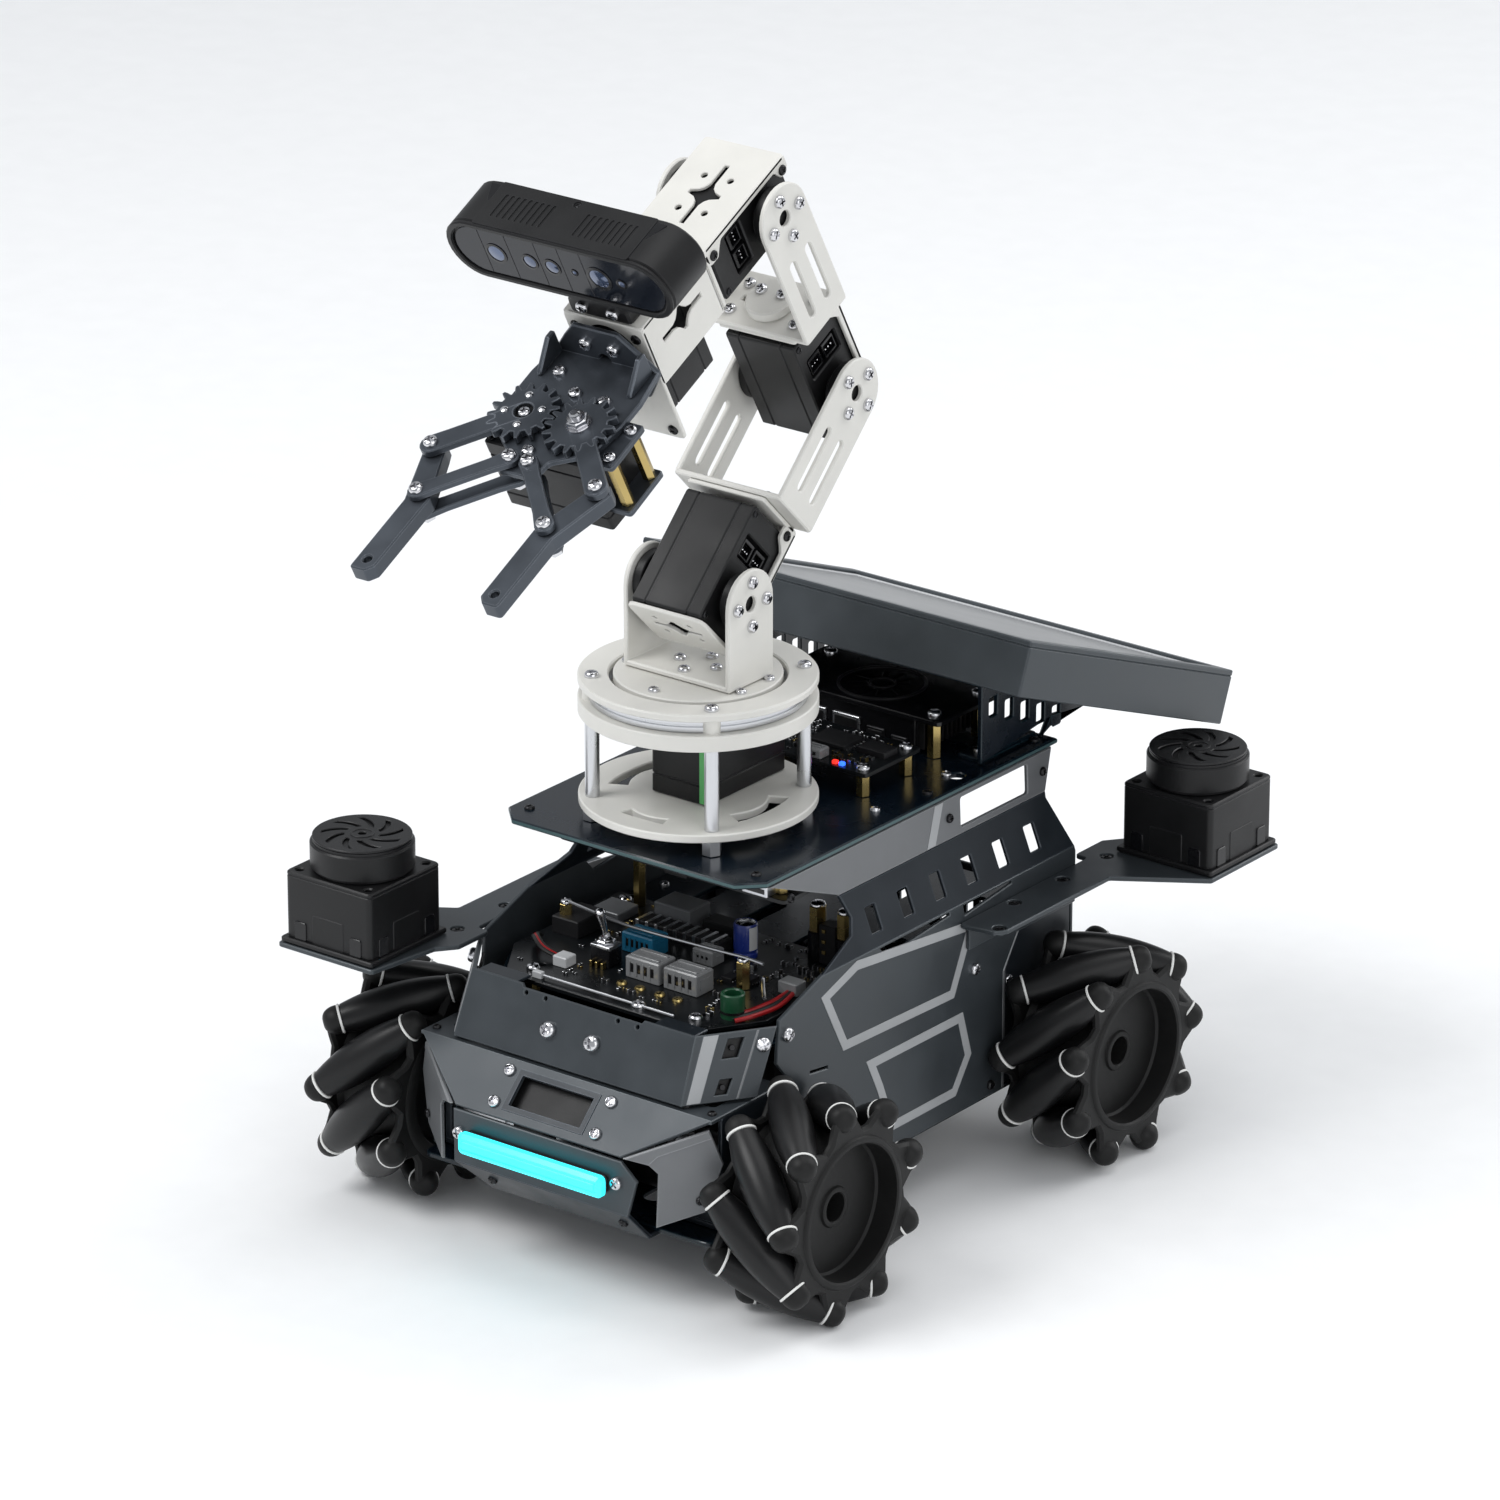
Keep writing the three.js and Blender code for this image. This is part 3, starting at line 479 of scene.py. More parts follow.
BLUE_BLOCK = surface("blue_nylon", (0.01, 0.12, 0.22), 0.35, 0.0, 1500, 0.05, 0.1)
STRAP = surface("woven_strap", (0.02, 0.02, 0.022), 0.8, 0.0, 1400, 0.5, 0.2)
BLUE_SLEEVE = surface("capacitor_sleeve", (0.012, 0.03, 0.22), 0.3, 0.0, 1200, 0.03, 0.1, coat=0.3)
GREEN = surface("green_part", (0.006, 0.055, 0.022), 0.35, 0.0, 1200, 0.05, 0.15)
BRIGHT_GREEN = surface("green_strip", (0.10, 0.45, 0.13), 0.4, 0.0, 1200, 0.05, 0.1)
RED_WIRE = surface("red_insulation", (0.30, 0.006, 0.008), 0.34, 0.0, 1200, 0.05, 0.1)
BLACK_WIRE = surface("black_insulation", (0.012, 0.012, 0.012), 0.4, 0.0, 1200, 0.05, 0.1)
# The screen's mid grey is a painted reflection: the glass is seen almost edge-on and is given the brightness
# of the surroundings it mirrors.
SCREEN_PAINTED_REFLECTION = surface("screen_glass", (0.17, 0.175, 0.18), 0.35, 0.0, 3000, 0.05, 0.012, coat=0.1,
                 rough_vary=0.015)
BEZEL = surface("screen_bezel", (0.55, 0.56, 0.57), 0.3, 0.0, 2000, 0.04, 0.05)
LENS_GLASS = surface("camera_window", (0.006, 0.008, 0.013), 0.1, 0.0, 200, 0.005, 0.1, coat=0.15,
                     specular=0.3)
LENS_BLUE = surface("lens_coating", (0.05, 0.08, 0.16), 0.06, 0.6, 200, 0.005, 0.2, coat=1.0)


def glowing(name, colour, strength):
    """A lit diffuser whose glow is a little brighter in patches of noise."""
    material = surface(name, colour, 0.3, 0.0, 1500, 0.03, 0.05)
    tree = material.node_tree
    shader = tree.nodes["Principled BSDF"]
    shader.inputs["Emission Strength"].default_value = strength
    lit = blend_colours(tree, noise(tree, 40, 1), colour, [min(1, c * 1.15 + 0.02) for c in colour])
    tree.links.new(lit, shader.inputs["Emission Color"])
    return material


LED_CYAN = glowing("light_diffuser", (0.03, 0.80, 0.95), 1.1)
LED_RED = glowing("led_red", (0.9, 0.02, 0.01), 1.5)
LED_BLUE = glowing("led_blue", (0.02, 0.12, 1.0), 2.0)


# ---------- wheels ----------
WHEEL_R = 40
ROLLERS = 9
ROLLER_R = 7.5
ROLLER_HALF = 19.6
WASHER_T = 0.9
LOBE = [(-17, 30.0), (-11, 33.4), (-8, 36.8), (-4, 38.9), (2, 39.3), (7, 38.0), (11, 34.6), (16, 31.0)]
ALONG_X = Matrix(((0, 0, 1, 0), (1, 0, 0, 0), (0, 1, 0, 0), (0, 0, 0, 1)))    # plates in YZ, thick along X
ALONG_Y = Matrix(((1, 0, 0, 0), (0, 0, -1, 0), (0, 1, 0, 0), (0, 0, 0, 1)))   # plates in XZ, thick along -Y


def roller_places(hand):
    """Middle, axis and turn of each roller; the axis points outwards."""
    for k in range(ROLLERS):
        spin = Matrix.Rotation(TAU * k / ROLLERS, 3, "Z")
        axis = Vector((-hand, 0, 1)).normalized()
        yield spin @ Vector((0, ROLLER_R - WHEEL_R, 0)), spin @ axis


def lobed_plate(hand, side):
    """Outline of a side plate, with a lobe over each roller end."""
    reach = (ROLLER_HALF + WASHER_T + 0.6) * math.sqrt(0.5)
    start = math.degrees(math.atan2(ROLLER_R - WHEEL_R, -hand * side * reach))
    path = []
    for k in range(ROLLERS):
        for angle, radius in LOBE:
            a = math.radians(start + k * 360 / ROLLERS + angle * -hand * side)
            path.append((radius * math.cos(a), radius * math.sin(a)))
    if hand * side > 0:
        blocks = [path[i:i + len(LOBE)][::-1] for i in range(0, len(path), len(LOBE))]
        path = [p for b in blocks for p in b]
    return path


def barrel():
    """Half profile of a roller that keeps the wheel round."""
    middle = WHEEL_R - ROLLER_R
    profile = [(0, -ROLLER_HALF), (3.9, -ROLLER_HALF)]
    for i in range(17):
        h = ROLLER_HALF * (i / 8 - 1) * 0.985
        profile.append((math.sqrt(WHEEL_R ** 2 - h * h / 2) - middle, h))
    return profile + [(3.9, ROLLER_HALF), (0, ROLLER_HALF)]


def wheel(name, body, outward, hand):
    x_axis = Vector((0, outward, 0))
    place = local_frame(joint_at(name + "_spin"), x_axis, UP, Vector((outward, 0, 0)))
    hub = Piece(place)
    profile = [
        (3.4, -9), (21.4, -9), (22, -9.6), (22.4, -18.1), (22.9, -18.5), (26.4, -18.5), (27.6, -17.8),
        (28, -14.6),
        (26.3, -12), (26.3, 12), (28, 14.6), (27.8, 17.4), (27.2, 18.3), (26.6, 18.6), (25.4, 18.6),
        (24.8, 18.1), (24.4, 10.2), (23.6, 9.4), (7.6, 9.4), (7.1, 10.3), (6.7, 10.5), (5.6, 10.5),
        (5.2, 10.1), (5.2, 1), (3.4, 1),
    ]
    hub.lathe(profile, HUB, 72)
    for side in (1, -1):
        low, high = (14.2, 17.6) if side > 0 else (-17.6, -14.2)
        hub.plate(lobed_plate(hand, side), low, high, HUB, [circle(25.6, steps=72)], 1.1)
    hub.rod((0, 0, -9.6), (0, 0, 3.4), 3.3, DARK_SCREW)
    rollers, washers = Piece(place), Piece(place)
    shape = barrel()
    for middle, axis in roller_places(hand):
        turn = Matrix.Translation(middle) @ axis.to_track_quat("Z", "Y").to_matrix().to_4x4()
        rollers.lathe(shape, RUBBER, 28, turn)
        for end in (1, -1):
            at = turn @ Matrix.Rotation(0 if end > 0 else math.pi, 4, "X")
            near = ROLLER_HALF + 0.05
            far = near + WASHER_T
            washers.lathe([(0, near), (5.2, near), (5.45, near + 0.2), (5.45, far - 0.2), (5.2, far),
                           (0, far)],
                          WASHER, 28, at)
            knuckle = [(0, far), (5.1, far), (5.2, far + 0.6)]
            for i in range(1, 9):
                a = i * math.pi / 16
                knuckle.append((5.2 * math.cos(a) ** 0.7, far + 0.6 + 5.4 * math.sin(a)))
            knuckle[-1] = (0, far + 6)
            hub.lathe(knuckle, HUB, 24, at)
    hub.make(name + "_hub", body, [name], slot="roller_rubber")
    rollers.make(name + "_rollers", body, slot="roller_rubber", smooth=50)
    washers.make(name + "_washers", body)


def wheels():
    for end in ("front", "rear"):
        for side, outward in (("left", 1), ("right", -1)):
            hand = -1 if (end == "front") == (outward > 0) else 1
            wheel(f"wheel_{end}_{side}", f"wheel_{end}_{side}_body", outward, hand)


# ---------- arm ----------
def servo(name, body, node, place, ports=1):
    """A bus servo: a case in three layers, with a connector pocket on one face. Its horn axis is X."""
    case = Piece(place)
    half = SERVO_WIDTH / 2
    outer = rounded([(-half, -SERVO_BACK), (half, -SERVO_BACK), (half, SERVO_FRONT), (-half, SERVO_FRONT)],
                    1.4)
    inner = rounded([(0.4 - half, 0.4 - SERVO_BACK), (half - 0.4, 0.4 - SERVO_BACK),
                     (half - 0.4, SERVO_FRONT - 0.4), (0.4 - half, SERVO_FRONT - 0.4)], 1.2)
    pocket = rectangle(-8.6, 8.6, 12.6, 21.5, 0.8)
    case.plate(outer, -15, -9.2, PLASTIC, (), 0.5, ALONG_X)
    case.plate(outer, -8.9, 8.6, PLASTIC, (), 0.35, ALONG_X)
    case.plate(inner, -14, 11, PLASTIC, (), 0.2, ALONG_X)
    case.plate(outer, 8.9, 15, PLASTIC, [pocket], 0.5, ALONG_X)
    case.lathe([(0, 14.8), (7.4, 14.8), (7.4, 15.5), (7, 15.8), (0, 15.8)], PLASTIC, 32, turn_x(1))
    case.lathe([(0, 14.8), (7.4, 14.8), (7.4, 15.5), (7, 15.8), (0, 15.8)], PLASTIC, 32, turn_x(-1))
    for y in (-4.2, 4.2) if ports else ():
        case.plate(rectangle(y - 3.4, y + 3.4, 13.6, 20.2, 0.4), 10.8, 14.3, GLOSS_BLACK,
                   [rectangle(y - 2.7, y + 2.7, 14.3, 18.9)], 0.2, ALONG_X)
        for i in (-1, 0, 1):
            case.rod((10.8, y + i * 1.6, 16.4), (13.8, y + i * 1.6, 16.4), 0.35, CHROME, 8, 0.1)
    for x, sign in ((15, 1), (-15, -1)):
        for y, z in ((-10, -11.6), (10, -11.6), (-10, 28.6), (10, 28.6)):
            case.screw((x, y, z), (sign, 0, 0), 1.3, DARK_SCREW, 0.6)
    case.make(name, body, [node], "black_plastic")


def turn_x(sign):
    """Lathe axis Z onto +X or -X."""
    return Matrix.Rotation(sign * math.pi / 2, 4, "Y")


def channel(name, body, node, place, heel, star=9.5):
    """The folded bracket round a servo: web at +Y, side flanges with screw tabs and end plates."""
    low, high = -15.8, 34.8
    inner, outer = 12.65, 14.15
    sheet = Piece(place)
    holes = [star_hole(0, star)] + [circle(1.3, x, star + z, 14) for x in (-5.6, 5.6) for z in (-8.2, 8.2)]
    web = rounded([(-16.8, low), (16.8, low), (16.8, high), (-16.8, high)], 1.6)
    sheet.plate(web, -outer, -inner, WHITE, holes, EDGE, ALONG_Y)
    flange = rounded([
        (outer - 0.1, low), (outer - 0.1, high), (9.2, high), (6.4, high - 1.6), (6.4, high - 6),
        (9.4, high - 8.2), (11.4, high - 10), (11.4, -8.6), (9.6, -9.4), (7, -11.2), (7, -13.6), (9.2, low),
    ], 1.6)
    for sign in (1, -1):
        near, far = (15.3, 16.8) if sign > 0 else (-16.8, -15.3)
        sheet.plate(flange, near, far, WHITE, (), EDGE, ALONG_X)
        for y, z in ((9.3, high - 4), (9.6, -12.4)):
            sheet.screw((sign * 16.8, y, z), (sign, 0, 0), 1.9, DARK_SCREW, 0.9)
    sheet.box(-16.8, 16.8, -12, inner + 0.2, high - 1.5, high, WHITE, EDGE, 1.4)
    if heel:
        wide = rounded([(-16.8, -12), (16.8, -12), (16.8, inner), (-16.8, inner)], 4)
        cuts = [star_hole(0, 0, 5, 10.5, turn=True)]
        cuts += [circle(1.2, x, y, 12) for x in (-7.6, 7.6) for y in (-5, 5)]
        sheet.plate(wide, low, low + 1.5, WHITE, cuts)
    sheet.make(name, body, [node], "white_paint")


def ear_outline(centre, foot, half_foot):
    arc = [(EAR_R * math.cos(math.pi * i / 16),
            centre + EAR_R * math.sin(math.pi * i / 16)) for i in range(17)]
    return [(half_foot, foot + 1.2), *arc, (-half_foot, foot + 1.2)]


def fork(name, body, node, place, foot, centre, slots, boss, turned_screws=0):
    """A U bracket whose ears are screwed to two horns."""
    sheet, steel, black = Piece(place), Piece(place), Piece(place)
    ear = ear_outline(centre, foot, EAR_R)
    holes = [circle(2.9, 0, centre, 20)]
    if slots:
        holes += [slot_hole(y, foot + 9.5, y, LINK - 18.5, 1.75) for y in (-4.8, 4.8)]
    for sign in (1, -1):
        near, far = (EAR_IN, EAR_IN + EAR_T) if sign > 0 else (-EAR_IN - EAR_T, -EAR_IN)
        sheet.plate(ear, near, far, WHITE, holes, 0.4, ALONG_X)
        for k in range(4):
            a = TAU * k / 4 + turned_screws
            at = (sign * (EAR_IN + EAR_T), SCREW_CIRCLE * math.cos(a), centre + SCREW_CIRCLE * math.sin(a))
            steel.screw(at, (sign, 0, 0), 2.4, spin=0.3 + k)
        disc = [(0, 15.9), (8.6, 15.9), (8.9, 16.2), (8.9, 17.2), (10.1, 17.4), (10.4, 17.7), (10.4, 20.6),
                (10.1, 21), (0, 21)]
        black.lathe(disc, PLASTIC, 48, Matrix.Translation((0, 0, centre)) @ turn_x(sign))
    base = rounded([(-EAR_IN - EAR_T, -EAR_R), (EAR_IN + EAR_T, -EAR_R), (EAR_IN + EAR_T, EAR_R),
                    (-EAR_IN - EAR_T, EAR_R)], 1.2)
    cuts = [star_hole(0, 0, 6, 13, turn=True)] if slots else ()
    sheet.plate(base, foot, foot + EAR_T, WHITE, cuts, 0.5)
    spots = [(-14, -6.5), (14, -6.5), (-14, 6.5), (14, 6.5)] if slots else [(-8, 0), (8, 0), (0, -8), (0, 8)]
    for x, y in spots:
        steel.screw((x, y, foot + EAR_T), (0, 0, 1), 2.3, spin=x + y)
    if boss:
        sheet.lathe([(0, foot + 2), (8.4, foot + 2), (9, foot + 2.6), (9, foot + 5.4), (8.4, foot + 6),
                     (0, foot + 6)],
                    WHITE, 40)
        for x in (-4.6, 4.6):
            steel.screw((x, 2, foot + 6), (0, 0, 1), 2.3, spin=x)
    sheet.make(name, body, [node], "white_paint")
    steel.make(name + "_screws", body, slot="bright_steel")
    black.make(name + "_horns", body, slot="black_plastic")


def bean_hole(radius, middle, half_span, half_width, steps=10):
    """A curved slot with a wider round end each side."""
    path = []
    for sign, order in ((1, 1), (-1, -1)):
        for i in range(steps + 1):
            t = (i / steps * 2 - 1) * order
            swell = half_width * (0.62 + 0.38 * min(1, abs(t) ** 2 * 1.2))
            a = math.radians(middle + half_span * t)
            r = radius + sign * swell
            path.append((r * math.cos(a), r * math.sin(a)))
    return path


def arm_base():
    """Lower plate, pillars, bearing, rings and turntable."""
    spots = [(x, y) for x in (-26.3, 26.3) for y in (-26.3, 26.3)]
    plate = Piece(ARM_BASE)
    holes = [bean_hole(28.5, m, 26, 3.4) for m in (0, 180)]
    holes += [bean_hole(31, m, 16, 2.4) for m in (90, 270)]
    plate.plate(circle(42, steps=96), 151, 154, WHITE, holes, 0.4)
    plate.make("arm_base_plate_disc", "chassis", ["arm_base_plate"], "white_paint")
    rings = Piece(ARM_BASE)
    rings.plate(circle(42, steps=96), 184.6, 190.4, WHITE, [circle(31, steps=64)], 0.4)
    rings.plate(circle(42, steps=96), 195.6, 198.4, WHITE, [circle(31.2, steps=64)], 0.5)
    metal, steel = Piece(ARM_BASE), Piece(ARM_BASE)
    bearing = [(32.5, 190.5), (38.2, 190.5), (38.6, 190.9), (38.6, 192.6), (38.1, 192.9), (38.1, 193.3),
               (38.6, 193.6), (38.6, 195.1), (38.2, 195.5), (32.5, 195.5)]
    metal.lathe(bearing, ALUMINIUM, 96)
    for x, y in spots:
        rings.rod((x, y, 190.2), (x, y, 195.8), 3.3, WHITE)
        metal.rod((x, y, 154), (x, y, 184.6), 2.6, ALUMINIUM, 24)
        metal.rod((x, y, 145.2), (x, y, 151), 3.6, ALUMINIUM, 6)
        steel.screw((x, y, 198.4), (0, 0, 1), 2.6, spin=x)
    rings.make("arm_base_rings", "chassis", ["arm_base_ring"], "white_paint")
    metal.make("arm_base_pillars", "chassis", slot="bright_steel")
    steel.make("arm_base_screws", "chassis", slot="bright_steel")
    table = Piece(ARM_BASE)
    table.lathe([(0, 195.7), (29.2, 195.7), (29.6, 196.1), (29.6, 198.4), (29.2, 198.8), (0, 198.8)], WHITE,
                96)
    table.make("turntable_disc", "arm_yaw", ["turntable"], "white_paint")
    heads = Piece(ARM_BASE)
    for x, y in ((-25, -8), (-25, 8), (25, -8), (25, 8), (0, -25), (0, 25)):
        heads.screw((x, y, 198.8), (0, 0, 1), 2.0, spin=y)
    heads.make("turntable_screws", "arm_yaw", slot="bright_steel")


def base_servo():
    case = Piece(ARM_BASE)
    for z0, z1, shrink in ((154.3, 161, 0), (161.3, 177.5, 0), (177.8, 184.2, 0), (155, 184, 0.4)):
        half = SERVO_WIDTH / 2 - shrink
        case.box(-half, half, -11 + shrink, 34 - shrink, z0, z1, PLASTIC, 0.4, 1.4)
    case.lathe([(0, 184), (10.2, 184), (10.4, 184.3), (10.4, 188), (10.1, 188.3), (0, 188.3)], PLASTIC, 40)
    case.box(9.6, 12.6, -11.9, -10.4, 155, 184, BRIGHT_GREEN, 0.2)
    case.make("base_servo_case", "chassis", ["base_servo"], "black_plastic")


def arm():
    arm_base()
    base_servo()
    shoulder_z = SHOULDER.z / MM
    fork("shoulder_bracket_sheet", "arm_yaw", "shoulder_bracket", ARM_BASE, 199.2, shoulder_z, False, False)
    servo("shoulder_servo_case", "lower_arm", "shoulder_servo", LOWER_ARM)
    channel("lower_arm_channel_sheet", "lower_arm", "lower_arm_channel", LOWER_ARM, True)
    fork("lower_arm_fork_sheet", "lower_arm", "lower_arm_fork", LOWER_ARM, 35.1, LINK, True, False)
    servo("elbow_servo_case", "upper_arm", "elbow_servo", UPPER_ARM)
    channel("upper_arm_channel_sheet", "upper_arm", "upper_arm_channel", UPPER_ARM, False)
    fork("upper_arm_fork_sheet", "upper_arm", "upper_arm_fork", UPPER_ARM, 35.1, LINK, True, True)
    servo("wrist_servo_case", "hand", "wrist_servo", WRIST_LINK)
    channel("wrist_channel_sheet", "hand", "wrist_channel", WRIST_LINK, False)


# ---------- hand ----------
GEAR_X = 12
GEAR_Y = -110
REACH = 33 * math.sqrt(0.5)
TEETH = 16


def stadium(half, radius, steps=14):
    right = [(half + radius * math.cos(a), radius * math.sin(a))
             for a in (math.pi * (i / steps - 0.5) for i in range(steps + 1))]
    return right + [(-x, -y) for x, y in right]


def roll_bracket():
    sheet = Piece(HAND)
    face = rounded([(-17, -38), (17, -38), (17, 14.1), (-17, 14.1)], 2.4)
    corners = [(x, z) for x in (-13, 13) for z in (-34, 8.6)]
    sheet.plate(face, 71.9, 73.4, WHITE, [circle(11.3, steps=40)], 0.35, ALONG_Y)
    sheet.box(-17, 17, -73.2, -58, 12.6, 14.1, WHITE, 0.35, 1.2)
    sheet.box(-17, 17, -36.8, -35.3, -12.6, 14, WHITE, 0.35, 0.6)
    wall = rounded([(-73.3, -12.6), (-35.4, -12.6), (-35.4, 14), (-73.3, 14)], 2.2)
    for near in (-17, 15.5):
        sheet.plate(wall, near, near + 1.5, WHITE, [star_hole(-54, 2, 5, 11.5, turn=True)], 0.35, ALONG_X)
    for x, z in corners:
        sheet.screw((x, -73.4, z), (0, -1, 0), 2.0, DARK_SCREW, 1.0)
    sheet.make("roll_bracket_sheet", "hand", ["roll_bracket"], "white_paint")
    short = Matrix.Diagonal((13.8 / SERVO_HALF_HEIGHT, 1, 1, 1))
    down = Matrix(((0, -1, 0, 0), (-1, 0, 0, -57.8), (0, 0, -1, 1.8), (0, 0, 0, 1)))
    servo("roll_servo_case", "hand", "roll_servo", HAND @ down @ short, 0)


def depth_camera():
    body, glass = Piece(HAND), Piece(HAND)
    middle = 45.6
    front, back = -82.5, -60.5
    ring = [(x, z + middle) for x, z in stadium(35, 12.6)]
    opening = [(x, z + middle) for x, z in stadium(34.6, 10.4)]
    body.plate(ring, -back, -front - 1.4, PLASTIC, (), 1.0, ALONG_Y)
    body.plate(ring, -front - 1.6, -front, PLASTIC, [opening], 0.5, ALONG_Y)
    glass.plate([(x, z + middle) for x, z in stadium(34.2, 10)], -front - 1.45, -front - 0.9, LENS_GLASS,
                (), 0.1, ALONG_Y)
    grilles = [slot_hole(x, -76.5, x, -67, 0.62) for side in (-1, 1)
               for x in (side * 17.5 + (i - 4) * 2.55 for i in range(9))]
    lid = rounded([(-33, -81.6), (33, -81.6), (33, -61.2), (-33, -61.2)], 1)
    body.plate(lid, middle + 12.4, middle + 13, PLASTIC, grilles + [circle(1.5, 0, -63.6, 14)], 0.12)
    body.plate(lid, middle + 12.1, middle + 12.45, CHIP, (), 0.05)
    body.screw((0, -63.6, middle + 12.45), (0, 0, 1), 1.2, DARK_SCREW, 0.4)
    for sign in (1, -1):
        cap = [(sign * 33.4, -62.6), (sign * 37.6, -62.6), (sign * 33.4, -72)]
        body.plate(rounded(cap, 0.6), middle + 12.2, middle + 12.66, DARK_SCREW, (), 0.05)
    parts = ((-27, 4.4, 0.9), (-12.5, 3.4, 0.7), (-3, 3.6, 0.8), (6.5, 1.5, 0.4), (17, 5.2, 1.1),
             (26.5, 2.2, 0.6))
    for x, radius, rim in parts:
        at = Matrix.Translation((x, front + 1.0, middle)) @ Matrix.Rotation(math.pi / 2, 4, "X")
        glass.lathe([(0, 0), (radius, 0), (radius, 0.35), (radius - rim, 0.42), (radius - rim - 0.2, 0.2),
                     (0, 0.2)],
                    GLOSS_BLACK, 32, at)
        glass.lathe([(0, 0.2), (radius - rim - 0.3, 0.2), ((radius - rim) * 0.5, 0.38), (0, 0.45)],
                    LENS_BLUE, 24, at)
    for x in (-32, -20.5, -8, 2, 11.5):
        glass.box(x - 0.12, x + 0.12, front + 0.78, front + 0.95, middle - 9.6, middle + 9.6, PLASTIC, 0.04)
    body.make("depth_camera_body", "hand", ["depth_camera"], "black_plastic")
    glass.make("depth_camera_window", "hand", slot="black_plastic")
    mount = Piece(HAND)
    mount.plate(rounded([(-13, 14.3), (13, 14.3), (13, 20), (7.5, 24.5), (-7.5, 24.5), (-13, 20)], 1.6),
                62, 73, PLASTIC, (), 0.8, ALONG_Y)
    mount.box(-7, 7, -72, -64, 23, 34, PLASTIC, 0.5, 1)
    for x in (-6.5, 6.5):
        mount.screw((x, -73, 18.6), (0, -1, 0), 2.4, CHROME, spin=x)
    mount.make("camera_mount", "hand", slot="black_plastic")


def palm():
    """Gripper bracket: a face on the roll horn, a floor under the gears, and the gripper's servo."""
    metal, steel, brass = Piece(HAND), Piece(HAND), Piece(HAND)
    floor = rounded([
        (-22, -76.4), (22, -76.4), (24.5, -92), (24.5, -104), (22, -118), (9, -126), (7.8, -134.5),
        (-7.8, -134.5), (-9, -126), (-20, -118), (-24, -104), (-24, -90),
    ], 2.5)
    holes = [circle(5.6, -GEAR_X, GEAR_Y, 28), circle(3.1, GEAR_X, GEAR_Y, 20)]
    metal.plate(floor, -2.6, -0.2, ANODISED, holes, 0.4)
    face = rounded([(-9.5, 14), (9.5, 14), (15, 8), (22, -0.4), (22, -2.5), (14, -14), (-14, -14),
                    (-22, -2.5), (-22, -0.4), (-15, 8)], 1.5)
    metal.plate(face, 76.4, 78.4, ANODISED, [circle(2.6, 0, 0, 16)], 0.4, ALONG_Y)
    metal.lathe([(0, 71.9), (9.8, 71.9), (10.2, 72.3), (10.2, 76.4), (0, 76.4)], PLASTIC, 40,
                Matrix.Rotation(math.pi / 2, 4, "X"))
    rib = [(-78.4, -0.2), (-78.4, 9), (-82, 9), (-93, -0.2)]
    for near in (-20.4, 18.4):
        metal.plate(rounded(rib, 1), near, near + 2, ANODISED, (), 0.4, ALONG_X)
    for x, z in ((-6, 6.4), (6, 6.4)):
        steel.screw((x, -78.4, z), (0, -1, 0), 2.5, spin=x)
    for x, y in ((-1, -95.5), (12, -96), (-13, -88), (-1, -124)):
        steel.screw((x, y, -0.2), (0, 0, 1), 2.5, spin=x + y)
    for x, y in ((27, -103), (27, -116)):
        brass.plate(circle(2.3, x, y, 6), -24, -5.2, BRASS, (), 0.3)
        steel.screw((x, y, -2.6), (0, 0, 1), 2.3, spin=x + y)
    metal.plate(rounded([(20, -99), (30, -99), (30.5, -120), (20, -120)], 1.6), -5.1, -2.7, ANODISED, (), 0.4)
    metal.plate(rounded([(20, -99), (30, -99), (30.5, -120), (20, -120)], 1.6), -26.4, -24, ANODISED, (), 0.4)
    metal.make("gripper_bracket_sheet", "palm", ["gripper_bracket"], "dark_metal")
    steel.make("gripper_bracket_screws", "palm", slot="bright_steel")
    brass.make("gripper_standoffs", "palm")
    lying = Matrix(((0, 0, 1, -GEAR_X + 3), (0, -1, 0, GEAR_Y), (1, 0, 0, -17.9), (0, 0, 0, 1)))
    servo("gripper_servo_case", "palm", "gripper_servo", HAND @ lying)


def gear_path(phase):
    flank = [(-0.31, 10.2), (-0.2, 12), (-0.1, 13.2), (0.1, 13.2), (0.2, 12), (0.31, 10.2)]
    path = []
    for k in range(TEETH):
        for part, radius in flank:
            a = math.radians(phase + (k + part) * 360 / TEETH)
            path.append((radius * math.cos(a), radius * math.sin(a)))
    return path


def link_bar(x, y, half_width, narrow=0.82):
    """A bar from the origin to a point, with round ends and a slimmer middle."""
    length = math.hypot(x, y)
    turn = math.atan2(y, x)
    flat = []
    for centre, start in ((length, -90), (0, 90)):
        for i in range(9):
            a = math.radians(start + i * 22.5)
            flat.append((centre + half_width * math.cos(a), half_width * math.sin(a)))
        side = half_width * narrow * (1 if centre else -1)
        flat += [(length * (0.78 if centre else 0.22), side), (length * (0.22 if centre else 0.78), side)]
    return [(u * math.cos(turn) - v * math.sin(turn), u * math.sin(turn) + v * math.cos(turn))
            for u, v in flat]


def at_joint(name):
    return local_frame(joint_at(name), SIDE, -FORWARD, HAND_UP)


